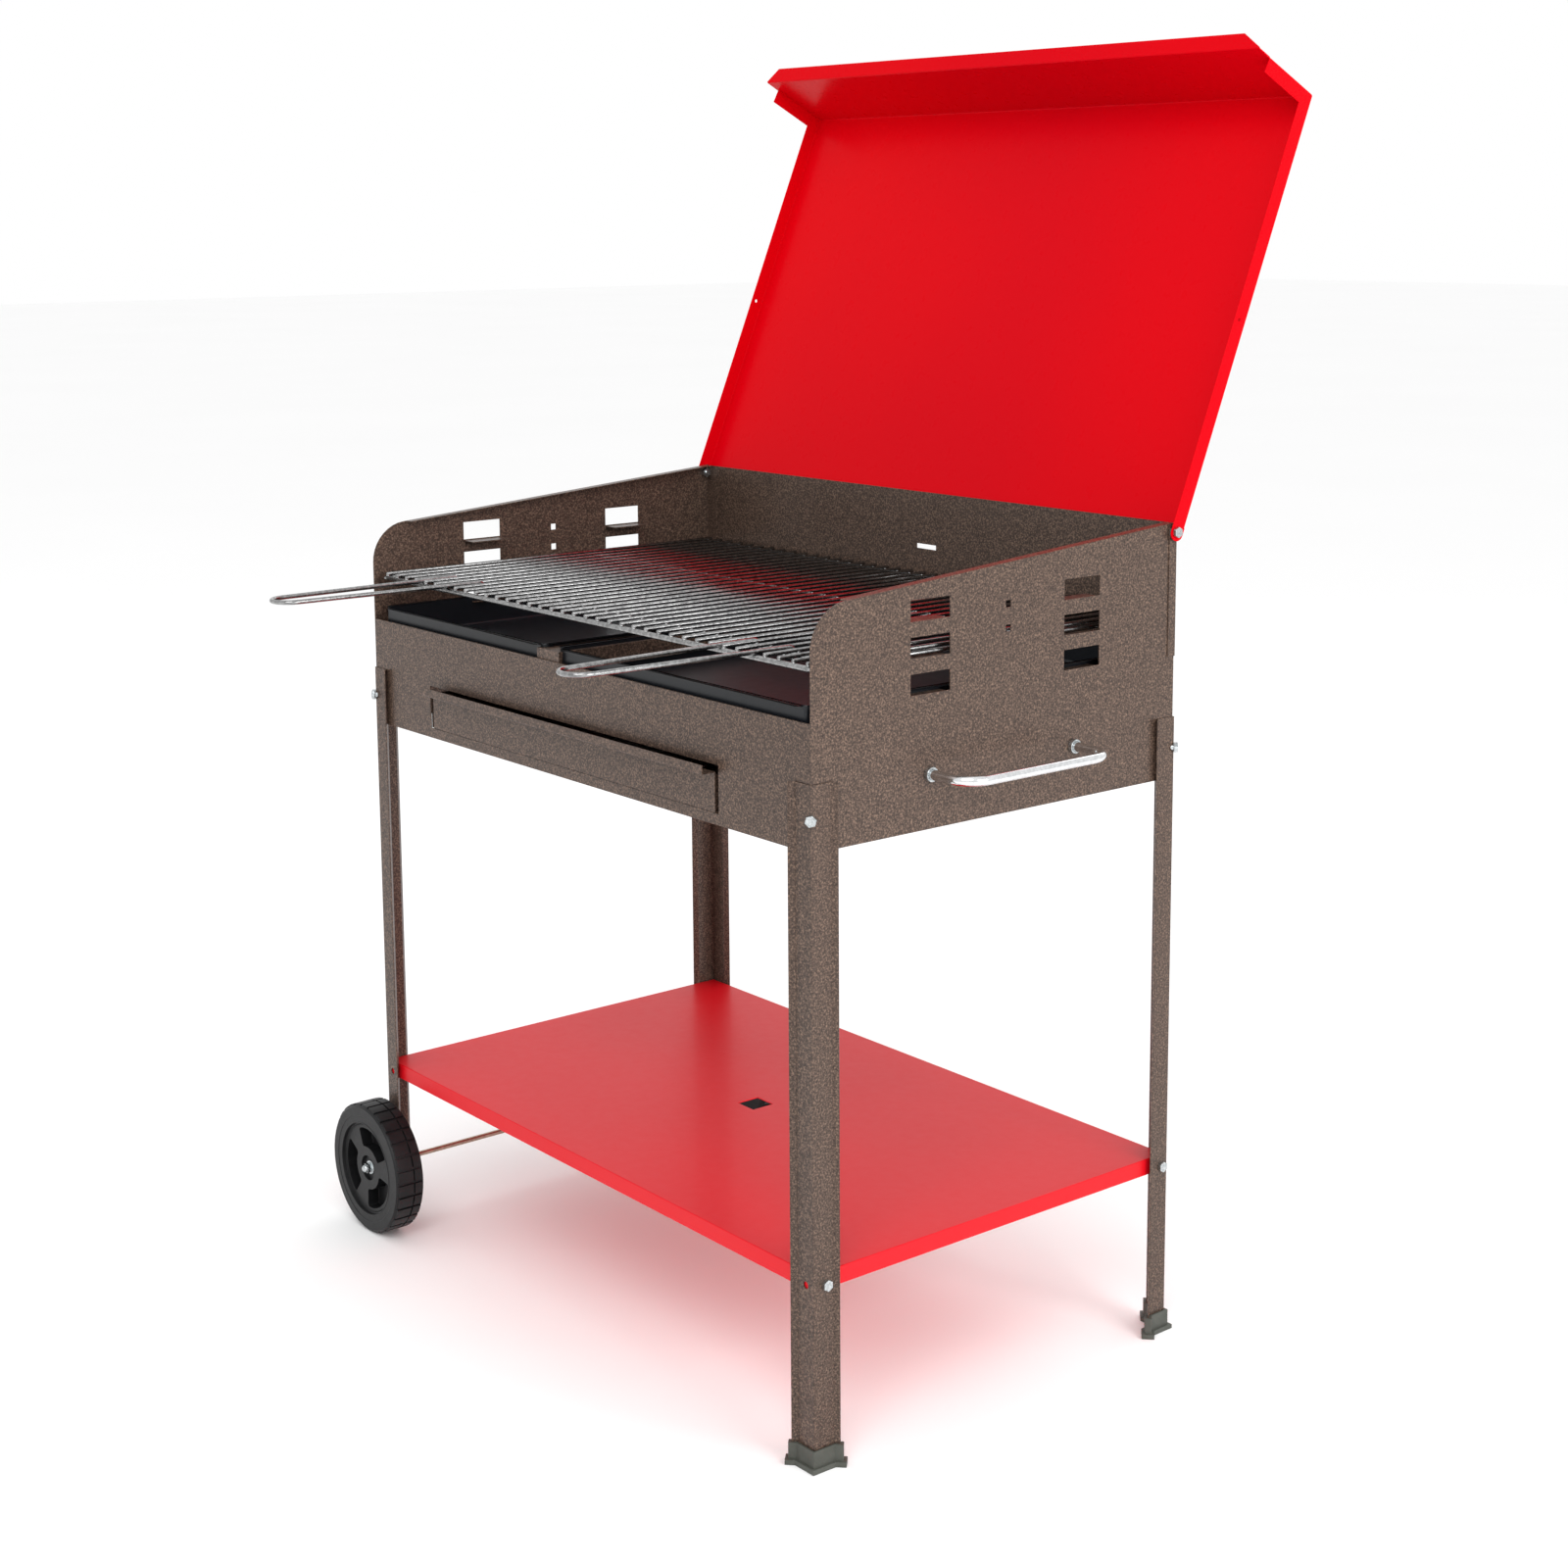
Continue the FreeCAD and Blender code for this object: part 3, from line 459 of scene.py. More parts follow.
def lay_sheet(bm: bmesh.types.BMesh, middle: Vector, width: float, length: float) -> None:
    """Lay one flat rectangle, square to X and Y.

    Args:
        bm: Mesh being built.
        middle: Its middle.
        width: Size along X.
        length: Size along Y.
    """
    at = Matrix.Translation(middle) @ Matrix.Diagonal((width, length, 1, 1))
    bmesh.ops.create_grid(bm, x_segments=1, y_segments=1, size=0.5, matrix=at)


def round_edges(
    bm: bmesh.types.BMesh, edges: Iterable[Edge], width: float, steps: int = 2,
) -> None:
    """Round some edges of a mesh.

    Args:
        bm: Mesh being built.
        edges: Edges to round.
        width: Size of the rounding in metres.
        steps: Segments across it.
    """
    bmesh.ops.bevel(
        bm, geom=list(edges), offset=width, offset_type="OFFSET", segments=steps, profile=0.5,
        affect="EDGES", material=-1, clamp_overlap=True,
    )


def sharp_edges(bm: bmesh.types.BMesh, degrees: float = 35.0) -> list[Edge]:
    """Edges whose two faces turn by more than an angle.

    Args:
        bm: Mesh to look through.
        degrees: The angle.

    Returns:
        The sharp edges.
    """
    limit = math.radians(degrees)
    return [e for e in bm.edges if len(e.link_faces) == 2 and e.calc_face_angle(0.0) > limit]


def face_up(bm: bmesh.types.BMesh, main: bmesh.types.BMFace, up: bool) -> None:
    """Turn an open sheet over if its main face looks the wrong way along Z.

    Args:
        bm: Mesh of the sheet.
        main: Face that decides.
        up: Whether it has to look up.
    """
    if (main.normal.z > 0) != up:
        bmesh.ops.reverse_faces(bm, faces=bm.faces[:])


def finish_piece(
    bm: bmesh.types.BMesh, name: str, body: str, material: bpy.types.Material,
    replaces: Sequence[str] = (), outward: bool = True, smooth_degrees: float = 35.0,
) -> bpy.types.Object:
    """Turn a finished bmesh into a piece of the grill that rides on a body.

    Args:
        bm: Mesh of the piece, in metres in the frame of the grill. It is freed.
        name: Name of the piece.
        body: CAD body that carries it.
        material: Finish of the piece.
        replaces: CAD nodes that it stands for.
        outward: Whether the normals are recalculated to point out.
        smooth_degrees: Edges under this angle are shaded smooth.

    Returns:
        The new object.
    """
    if outward:
        bmesh.ops.recalc_face_normals(bm, faces=bm.faces[:])
    limit = math.radians(smooth_degrees)
    for face in bm.faces:
        face.smooth = True
    for edge in bm.edges:
        edge.smooth = len(edge.link_faces) == 2 and edge.calc_face_angle(0.0) < limit
    piece = mesh_object(bm, name)
    piece.data.materials.append(material)
    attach(piece, body)
    if replaces:
        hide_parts(*replaces)
    log.info("%s: %d faces on %s", name, len(piece.data.polygons), body)
    return piece


def dress(
    nodes: dict[str, bpy.types.Object], names: Iterable[str], material: bpy.types.Material,
) -> None:
    """Give CAD nodes that are kept a finish.

    Args:
        nodes: CAD nodes by name.
        names: Names of the nodes to dress.
        material: Their finish.
    """
    for name in names:
        for item in nodes[name].material_slots:
            item.material = material
        log.info("%s keeps its CAD shape, finish %s", name, material.name)


def aim(point: Vector, direction: Vector) -> Matrix:
    """Matrix at a point whose Z looks along a direction."""
    return Matrix.Translation(point) @ direction.to_track_quat("Z", "Y").to_matrix().to_4x4()


class RodBender:
    """Bends a round bar the way a wire bender does: straight runs and arcs."""

    def __init__(
        self, bm: bmesh.types.BMesh, start: Vector, heading: Vector, radius: float, sides: int,
    ) -> None:
        """Clamp the bar at its start.

        Args:
            bm: Mesh being built.
            start: Middle of the first end.
            heading: Direction of the first run.
            radius: Radius of the bar.
            sides: Facets round it.
        """
        self.bm = bm
        self.point = start.copy()
        self.heading = heading.normalized()
        self.radius = radius
        made = bmesh.ops.create_circle(
            bm, cap_ends=True, segments=sides, radius=radius, matrix=aim(start, heading),
        )
        self.ring = edges_of(made["verts"])

    def straight(self, length: float, radius: Optional[float] = None) -> "RodBender":
        """Feed the bar straight on.

        Args:
            length: Length of the run.
            radius: Radius at its end, the same if left out.

        Returns:
            The bender.
        """
        made = bmesh.ops.extrude_edge_only(self.bm, edges=self.ring)
        verts = verts_in(made["geom"])
        if radius is not None:
            where = Matrix.Translation(-self.point)
            grow = Vector.Fill(3, radius / self.radius)
            bmesh.ops.scale(self.bm, vec=grow, space=where, verts=verts)
            self.radius = radius
        bmesh.ops.translate(self.bm, vec=self.heading * length, verts=verts)
        self.point += self.heading * length
        self.ring = edges_of(verts)
        return self

    def bend(self, degrees: float, radius: float, axis: Vector, steps: int) -> "RodBender":
        """Bend the bar about an axis by the right-hand rule.

        Args:
            degrees: Angle of the bend.
            radius: Radius of the bar's middle line.
            axis: Direction of the axis, a unit vector.
            steps: Segments along the bend.

        Returns:
            The bender.
        """
        centre = self.point + axis.cross(self.heading) * radius
        made = bmesh.ops.spin(
            self.bm, geom=self.ring, cent=centre, axis=axis, dvec=(0, 0, 0),
            angle=math.radians(degrees), steps=steps, use_duplicate=False,
        )
        turn = Matrix.Rotation(math.radians(degrees), 3, axis)
        self.point = centre + turn @ (self.point - centre)
        self.heading = turn @ self.heading
        self.ring = edges_of(verts_in(made["geom_last"]))
        return self

    def close(self) -> None:
        """Cap the last end."""
        bmesh.ops.contextual_create(self.bm, geom=self.ring)


def thicken(piece: bpy.types.Object, thickness: float) -> None:
    """Give a folded skin its sheet thickness, inwards from its outer face.

    Args:
        piece: The skin.
        thickness: Thickness of the sheet.
    """
    solid = piece.modifiers.new("sheet", "SOLIDIFY")
    solid.thickness = thickness
    solid.offset = -1.0
    solid.use_even_offset = True


def carve(piece: bpy.types.Object, bm: bmesh.types.BMesh) -> None:
    """Cut a closed tool shape out of a piece and keep the result as its mesh.

    Args:
        piece: Piece to cut, its modifiers are applied on the way.
        bm: Shape of the tool. It is freed.
    """
    bmesh.ops.recalc_face_normals(bm, faces=bm.faces[:])
    cutter = mesh_object(bm, "tool")
    tool = piece.modifiers.new("carve", "BOOLEAN")
    tool.operation = "DIFFERENCE"
    tool.solver = "EXACT"
    tool.object = cutter
    bpy.context.view_layer.update()
    graph = bpy.context.evaluated_depsgraph_get()
    cut = bpy.data.meshes.new_from_object(piece.evaluated_get(graph))
    piece.modifiers.clear()
    piece.data = cut
    bpy.data.objects.remove(cutter)


def level_shading(piece: bpy.types.Object) -> None:
    """Keep broad flat faces flat beside their rounded edges."""
    weigh = piece.modifiers.new("level", "WEIGHTED_NORMAL")
    weigh.keep_sharp = True


def folded_copy(
    node: bpy.types.Object, body: str, material: bpy.types.Material,
    fold: float = 1.7 * MM, trim: float = 0.25 * MM,
) -> bpy.types.Object:
    """Pressed version of a sheet-metal node: round folds and broken cut edges.

    Args:
        node: CAD node whose shape is followed.
        body: CAD body that carries it.
        material: Finish of the piece.
        fold: Outer radius of the folds, none are rounded if it is no more than the trim.
        trim: Rounding of the cut edges of the sheet.

    Returns:
        The new piece, which replaces the node.
    """
    shortest = 12 * STEEL
    narrowest = 2.2 * STEEL
    flat = math.radians(1.0)
    bm = bmesh.new()
    bm.from_mesh(node.data)
    bmesh.ops.remove_doubles(bm, verts=bm.verts[:], dist=NEAR)
    bmesh.ops.dissolve_limit(bm, angle_limit=flat, verts=bm.verts[:], edges=bm.edges[:])

    def wide(edge: Edge) -> bool:
        """Whether both faces of an edge are broader than the sheet is thick."""
        least = narrowest * edge.calc_length()
        return all(face.calc_area() > least for face in edge.link_faces)

    crisp = sharp_edges(bm)
    outer = [e for e in crisp if e.is_convex and e.calc_length() > shortest and wide(e)]
    chosen = set(outer)
    cut_edges = [e for e in crisp if e not in chosen]
    if fold > trim:
        round_edges(bm, outer, fold, steps=4)
        still_sharp = set(sharp_edges(bm))
        cut_edges = [e for e in cut_edges if e.is_valid and e in still_sharp]
    round_edges(bm, cut_edges, trim, steps=1)
    piece = finish_piece(
        bm, node.name + "_pressed", body, material, [node.name], outward=False,
    )
    level_shading(piece)
    return piece


# ------------------------------------------------------------------ stand


@dataclass
class Stand:
    """Firebox panels, legs, feet, shelf and their fasteners."""

    nodes: dict[str, bpy.types.Object]
    palette: Palette
    body: str = "stand"
    foot_round: float = 0.9 * MM
    foot_trim: float = 0.3 * MM
    nut_chamfer: float = 0.35 * MM

    def build(self) -> None:
        """Make every piece of the stand."""
        self.firebox()
        self.underframe()
        self.fasteners()

    def firebox(self) -> None:
        """Panels of the firebox in hammered enamel."""
        enamel = self.palette["bronze"]
        sides = ["side_panel_" + side.word for side in Side]
        for name in (*sides, "front_panel", "back_panel", "rear_wind_guard"):
            folded_copy(self.nodes[name], self.body, enamel)
        runners = ["drawer_runner_" + side.word for side in Side]
        dress(self.nodes, ("pan_support_bar", *runners), enamel)

    def underframe(self) -> None:
        """Legs, plastic feet and the red shelf between them."""
        for end in End:
            for side in Side:
                leg = self.nodes[f"leg_{end.word}_{side.word}"]
                folded_copy(leg, self.body, self.palette["bronze"])
            folded_copy(
                self.nodes[f"foot_{end.word}_right"], self.body, self.palette["foot"],
                fold=self.foot_round, trim=self.foot_trim,
            )
        folded_copy(self.nodes["bottom_shelf"], self.body, self.palette["shelf"])

    def fasteners(self) -> None:
        """Zinc-plated bolts and nuts with chamfered corners, and the axle."""
        zinc = self.palette["zinc"]
        seen = (
            "corner_bolts", "shelf_bolts", "hinge_bolts", "handle_nuts", "axle_cap_nuts",
            "wheel_washers",
        )
        for name in seen:
            folded_copy(
                self.nodes[name], self.body, zinc, fold=0.0, trim=self.nut_chamfer,
            )
        hidden = ("axle_spacers", "corner_nuts", "shelf_nuts", "hinge_spacers", "hinge_nuts")
        dress(self.nodes, hidden, zinc)
        dress(self.nodes, ("wheel_axle",), self.palette["axle"])


@dataclass
class SideHandle:
    """Bent round bar on the right side."""

    palette: Palette
    reach: float = 440 * MM
    height: float = 643.5 * MM
    half: float = 94 * MM
    rod: float = 5 * MM
    corner: float = 25 * MM
    end: float = 379 * MM
    chamfer: float = 0.8 * MM
    facets: int = 32
    corner_steps: int = 14

    def build(self) -> bpy.types.Object:
        """Bend the bar.

        Returns:
            The finished handle.
        """
        bm = bmesh.new()
        tip = self.rod - self.chamfer
        arm = self.reach - self.corner - self.end - self.chamfer
        start = Vector((self.end, -self.half, self.height))
        bar = RodBender(bm, start, ALONG_X, tip, self.facets)
        bar.straight(self.chamfer, self.rod).straight(arm)
        bar.bend(90, self.corner, ALONG_Z, self.corner_steps)
        bar.straight(2 * (self.half - self.corner))
        bar.bend(90, self.corner, ALONG_Z, self.corner_steps)
        bar.straight(arm).straight(self.chamfer, tip).close()
        chrome = self.palette["chrome"]
        return finish_piece(bm, "side_handle_bar", "stand", chrome, ["side_handle"])


# ------------------------------------------------------------------ wheels


class Lathe:
    """Turns a closed ring profile about the Z axis."""

    def __init__(self, bm: bmesh.types.BMesh, radius: float, height: float, sides: int) -> None:
        """Start with one ring.

        Args:
            bm: Mesh being built.
            radius: Radius of the ring.
            height: Its place along Z.
            sides: Facets round it.
        """
        self.bm = bm
        self.radius = radius
        self.height = height
        made = bmesh.ops.create_circle(
            bm, cap_ends=False, segments=sides, radius=radius,
            matrix=Matrix.Translation((0, 0, height)),
        )
        self.ring = edges_of(made["verts"])
        self.first = list(self.ring)

    def to(self, radius: float, height: float) -> None:
        """Sweep the ring on.

        Args:
            radius: Its new radius.
            height: Its new place along Z.
        """
        made = bmesh.ops.extrude_edge_only(self.bm, edges=self.ring)
        verts = verts_in(made["geom"])
        grow = radius / self.radius
        bmesh.ops.scale(self.bm, vec=Vector((grow, grow, 1)), verts=verts)
        bmesh.ops.translate(self.bm, vec=ALONG_Z * (height - self.height), verts=verts)
        self.radius, self.height = radius, height
        self.ring = edges_of(verts)

    def join(self) -> None:
        """Close the profile from the last ring to the first."""
        bmesh.ops.bridge_loops(self.bm, edges=self.ring + self.first)


@dataclass
class Wheel:
    """Moulded wheel with a lugged tread, a three-spoke face and a hub recess.

    Radii are measured from the axle, heights and depths along it from the inner face.
    """

    end: End
    palette: Palette
    centre: Vector = field(default_factory=lambda: Vector((-370, 0, 75)) * MM)
    inner_face: float = 246.2 * MM
    width: float = 35.5 * MM
    radius: float = 75 * MM
    bore: float = 3.1 * MM
    hub: float = 16 * MM
    hollow: float = 14 * MM
    rim: float = 66 * MM
    bead: float = 70 * MM
    draft: float = 0.6 * MM
    toe: float = 1.2 * MM
    shoulder: float = 2.6 * MM
    groove_low: float = 13.2 * MM
    groove_high: float = 14.4 * MM
    brow: float = 1.1 * MM
    wall: float = 71.2 * MM
    line_outer: float = 62 * MM
    line_inner: float = 54 * MM
    line_depth: float = 0.5 * MM
    dish: float = 53 * MM
    dish_depth: float = 4 * MM
    moat_outer: float = 51.2 * MM
    moat_inner: float = 50.2 * MM
    moat_depth: float = 4.8 * MM
    recess: float = 14.4 * MM
    recess_floor: float = 14 * MM
    recess_depth: float = 8 * MM
    section_round: float = 0.45 * MM
    lugs: int = 30
    lug_depth: float = 1.9 * MM
    lug_flank: float = 0.3 * MM
    row_step: float = 0.1 * MM
    facets_per_lug: int = 6
    facets_per_gap: int = 1
    spokes: tuple[float, ...] = (10, 130, 250)
    spoke_spacing: float = 120
    pocket_turn: float = 84
    pocket_inner: float = 25 * MM
    pocket_outer: float = 47 * MM
    pocket_floor: float = 17.5 * MM
    pocket_corner: float = 3.6 * MM
    pocket_fillet: float = 1.2 * MM
    pocket_steps: int = 7

    @property
    def place(self) -> Matrix:
        """Frame of the wheel on the grill, its outer face along local +Z."""
        at = self.centre + ALONG_Y * self.end.value * self.inner_face
        return Matrix.Translation(at) @ Matrix.Rotation(math.radians(-90 * self.end.value), 4, "X")

    def build(self) -> bpy.types.Object:
        """Turn, tread and carve the wheel.

        Returns:
            The finished wheel.
        """
        bm = bmesh.new()
        self.turn(bm)
        self.tread(bm)
        bmesh.ops.transform(bm, matrix=self.place, verts=bm.verts[:])
        name = "wheel_" + self.end.word
        body = self.end.word + "_wheel"
        piece = finish_piece(
            bm, name + "_moulded", body, self.palette["tyre"], [name],
        )
        for angle in self.spokes:
            tool = self.pocket(angle)
            bmesh.ops.transform(tool, matrix=self.place, verts=tool.verts[:])
            carve(piece, tool)
        level_shading(piece)
        return piece

    def turn(self, bm: bmesh.types.BMesh) -> None:
        """Turn the section, from the bore round the inner face, the tread and the outer face.

        Args:
            bm: Mesh being built.
        """
        tread = self.radius - self.lug_depth
        wide = self.width
        section = (
            (self.hub, 0), (self.hub - self.draft, self.hollow),
            (self.rim - self.draft, self.hollow), (self.rim, 0), (self.bead, 0),
            (tread - self.draft, self.toe), (tread, self.shoulder), (tread, self.groove_low),
            (tread, self.groove_high), (tread, wide - self.shoulder),
            (tread - self.draft, wide - self.brow), (self.wall, wide), (self.line_outer, wide),
            (self.line_outer - self.draft, wide - self.line_depth),
            (self.line_inner + self.draft, wide - self.line_depth), (self.line_inner, wide),
            (self.dish, wide), (self.dish - self.draft, wide - self.dish_depth),
            (self.moat_outer, wide - self.moat_depth), (self.moat_inner, wide - self.dish_depth),
            (self.recess, wide - self.dish_depth), (self.recess_floor, wide - self.recess_depth),
            (self.bore, wide - self.recess_depth),
        )
        lathe = Lathe(bm, self.bore, 0, self.lugs * self.facets_per_lug)
        for radius, height in section:
            lathe.to(radius, height)
        lathe.join()
        bmesh.ops.recalc_face_normals(bm, faces=bm.faces[:])
        round_edges(bm, sharp_edges(bm, 50), self.section_round)

    def tread(self, bm: bmesh.types.BMesh) -> None:
        """Raise the lugs from the tread, in two rows split by a groove.

        Args:
            bm: Mesh being built.
        """
        facet_turn = 360 / (self.lugs * self.facets_per_lug)
        least = self.radius - 2 * self.lug_depth
        rows = (
            (self.shoulder, self.groove_low), (self.groove_high, self.width - self.shoulder),
        )
        for row, (low, high) in enumerate(rows):
            blocks: dict[int, list[bmesh.types.BMFace]] = {}
            for face in bm.faces:
                middle = face.calc_center_median()
                if not low < middle.z < high or math.hypot(middle.x, middle.y) < least:
                    continue
                facet = int(math.degrees(math.atan2(middle.y, middle.x)) % 360 / facet_turn)
                if facet % self.facets_per_lug >= self.facets_per_gap:
                    blocks.setdefault(facet // self.facets_per_lug, []).append(face)
            for block in blocks.values():
                self.lug(bm, block, self.radius - row * self.row_step)

    def lug(
        self, bm: bmesh.types.BMesh, block: list[bmesh.types.BMFace], radius: float,
    ) -> None:
        """Raise one block of the tread with sloped flanks.

        Args:
            bm: Mesh being built.
            block: Faces of the tread under the lug.
            radius: Radius of its top.
        """
        bmesh.ops.inset_region(bm, faces=block, thickness=self.lug_flank, use_even_offset=True)
        verts = {v for f in block for v in f.verts}
        grow = radius / (self.radius - self.lug_depth)
        bmesh.ops.scale(bm, vec=Vector((grow, grow, 1)), verts=list(verts))

    def pocket(self, angle: float) -> bmesh.types.BMesh:
        """Kidney-shaped tool for one pocket between two spokes.

        Args:
            angle: Direction of the spoke before it, in degrees.

        Returns:
            The closed tool in the frame of the wheel.
        """
        low, high = self.pocket_floor, self.width + 2 * MM
        inner, outer = self.pocket_inner, self.pocket_outer
        start = math.radians(angle + (self.spoke_spacing - self.pocket_turn) / 2)
        bm = bmesh.new()
        size = Matrix.Diagonal((outer - inner, high - low, 1, 1))
        upright = Matrix.Rotation(math.radians(90), 4, "X")
        middle = Matrix.Translation(((inner + outer) / 2, 0, (low + high) / 2))
        where = Matrix.Rotation(start, 4, "Z") @ middle @ upright @ size
        bmesh.ops.create_grid(bm, x_segments=1, y_segments=1, size=0.5, matrix=where)
        bmesh.ops.spin(
            bm, geom=bm.faces[:] + bm.edges[:], cent=(0, 0, 0), axis=ALONG_Z, dvec=(0, 0, 0),
            angle=math.radians(self.pocket_turn), steps=self.pocket_steps, use_duplicate=False,
        )
        bmesh.ops.recalc_face_normals(bm, faces=bm.faces[:])
        corners = [
            e for e in sharp_edges(bm, 60)
            if abs(e.verts[0].co.z - e.verts[1].co.z) > (high - low) / 2
        ]
        round_edges(bm, corners, self.pocket_corner, steps=5)
        floor = [e for e in sharp_edges(bm, 60) if max(v.co.z for v in e.verts) < low + SLACK]
        round_edges(bm, floor, self.pocket_fillet, steps=3)
        return bm


# ------------------------------------------------------------------ lid


class SheetBrake:
    """Folds a flat strip the way a press brake does, in the frame of a lid."""

    def __init__(
        self, bm: bmesh.types.BMesh, start: Vector, width: float, length: float,
    ) -> None:
        """Lay the first flat: across X, running along Y.

        Args:
            bm: Mesh being built.
            start: Middle of its first edge.
            width: Size across.
            length: Size along.
        """
        self.bm = bm
        lay_sheet(bm, start + ALONG_Y * length / 2, width, length)
        self.point = start + ALONG_Y * length
        self.heading = ALONG_Y.copy()
        self.edge = max(bm.edges, key=lambda e: min(v.co.y for v in e.verts))

    def flat(self, length: float) -> "SheetBrake":
        """Add a flat.

        Args:
            length: Its length.

        Returns:
            The brake.
        """
        made = bmesh.ops.extrude_edge_only(self.bm, edges=[self.edge])
        verts = verts_in(made["geom"])
        bmesh.ops.translate(self.bm, vec=self.heading * length, verts=verts)
        self.point += self.heading * length
        self.edge = edges_of(verts)[0]
        return self

    def bend(self, degrees: float, radius: float, steps: int) -> "SheetBrake":
        """Bend the strip about X by the right-hand rule.

        Args:
            degrees: Angle of the bend.
            radius: Radius of the skin in the bend.
            steps: Segments along it.

        Returns:
            The brake.
        """
        angle = math.radians(abs(degrees))
        axis = ALONG_X * math.copysign(1.0, degrees)
        centre = self.point + axis.cross(self.heading) * radius
        made = bmesh.ops.spin(
            self.bm, geom=[self.edge], cent=centre, axis=axis, dvec=(0, 0, 0), angle=angle,
            steps=steps, use_duplicate=False,
        )
        turn = Matrix.Rotation(angle, 3, axis)
        self.point = centre + turn @ (self.point - centre)
        self.heading = turn @ self.heading
        self.edge = edges_of(verts_in(made["geom_last"]))[0]
        return self


@dataclass
class Lid:
    """Folded lid: skin, front lip with a grip, and two side flanges, standing open."""

    palette: Palette
    width: float = 785 * MM
    rear: float = 8 * MM
    length: float = 464 * MM
    skin: float = -10.3 * MM
    lip: float = 94.5 * MM
    lip_bend: float = 85
    grip: float = 15.2 * MM
    grip_bend: float = 69
    grip_corner: float = 21 * MM
    flange: float = 17 * MM
    flange_stop: float = 18.5 * MM
    flange_fold: float = 1.6 * MM
    fold: float = 2.6 * MM
    tight_fold: float = 1.0 * MM
    ear: float = 8.5 * MM
    ear_round: float = 0.95
    bolt_hole: float = 3.05 * MM
    stay_hole: float = 2 * MM
    stay_place: float = 225 * MM
    drill_depth: float = 8 * MM
    drill_sides: int = 20
    edge_round: float = 0.2 * MM
    lean: float = 22.9
    hinge: Vector = field(default_factory=lambda: Vector((0, 230.5, 842)) * MM)

    @property
    def place(self) -> Matrix:
        """Frame of the open lid, with the hinge axis at its origin."""
        lift = Matrix.Rotation(math.radians(90 - self.lean), 4, "X")
        return Matrix.Translation(self.hinge) @ lift

    def build(self) -> bpy.types.Object:
        """Fold the lid, give it thickness and bore its holes.

        Returns:
            The finished lid.
        """
        bm = bmesh.new()
        self.fold_skin(bm)
        self.turn_flanges(bm)
        bmesh.ops.transform(bm, matrix=self.place, verts=bm.verts[:])
        piece = finish_piece(
            bm, "lid_pressed", "lid", self.palette["lid"], ["lid_shell"],
            outward=False,
        )
        thicken(piece, STEEL)
        self.bore_holes(piece)
        soft = piece.modifiers.new("edges", "BEVEL")
        soft.width = self.edge_round
        soft.segments = 1
        soft.limit_method = "ANGLE"
        soft.angle_limit = math.radians(50)
        level_shading(piece)
        return piece

    def bore_holes(self, piece: bpy.types.Object) -> None:
        """Bore the hinge hole and a smaller hole through each side flange.

        Args:
            piece: The lid.
        """
        tool = bmesh.new()
        for side in Side:
            for reach, radius in ((0, self.bolt_hole), (self.stay_place, self.stay_hole)):
                middle = self.place @ Vector((side.value * self.width / 2, reach, 0))
                bmesh.ops.create_cone(
                    tool, cap_ends=True, cap_tris=False, segments=self.drill_sides,
                    radius1=radius, radius2=radius, depth=self.drill_depth,
                    matrix=aim(middle, ALONG_X),
                )
        carve(piece, tool)

    def fold_skin(self, bm: bmesh.types.BMesh) -> None:
        """Fold the skin, the lip and the grip from one strip.

        Args:
            bm: Mesh being built.
        """
        setback = self.fold * math.tan(math.radians(self.lip_bend / 2))
        tight = self.tight_fold * math.tan(math.radians(self.grip_bend / 2))
        start = Vector((0, self.rear, self.skin))
        strip = SheetBrake(bm, start, self.width, self.length - setback)
        strip.bend(self.lip_bend, self.fold, steps=6)
        strip.flat(self.lip - self.flange_stop - setback).flat(self.flange_stop - tight)
        strip.bend(-self.grip_bend, self.tight_fold, steps=4)
        strip.flat(self.grip - tight)
        narrow = (self.width / 2 - self.grip_corner) / (self.width / 2)
        bmesh.ops.scale(bm, vec=Vector((narrow, 1, 1)), verts=list(strip.edge.verts))

    def turn_flanges(self, bm: bmesh.types.BMesh) -> None:
        """Turn a flange inwards along both sides of skin and lip.

        Args:
            bm: Mesh being built.
        """
        angle = math.radians(self.lip_bend)
        corner = Vector((0, self.rear + self.length, self.skin))
        along = Vector((0, math.cos(angle), math.sin(angle)))
        stop = self.lip - self.flange_stop + SLACK
        for side in Side:
            x = side.value * self.width / 2
            chain = [
                e for e in bm.edges
                if e.is_boundary and all(abs(v.co.x - x) < NEAR for v in e.verts)
                and all((v.co - corner).dot(along) < stop for v in e.verts)
            ]
            made = bmesh.ops.extrude_edge_only(bm, edges=chain)
            verts = verts_in(made["geom"])
            for vert in verts:
                vert_to = self.flange_point(vert.co, corner, along)
                bmesh.ops.translate(bm, vec=vert_to - vert.co, verts=[vert])
            bmesh.ops.remove_doubles(bm, verts=verts, dist=SLACK / 2)
            self.round_ear(bm, x)
            folds = [e for e in chain if e.is_valid and not e.is_boundary]
            round_edges(bm, folds, self.flange_fold, steps=3)
        bmesh.ops.recalc_face_normals(bm, faces=bm.faces[:])
        face_up(bm, max(bm.faces, key=lambda f: f.calc_area()), up=False)

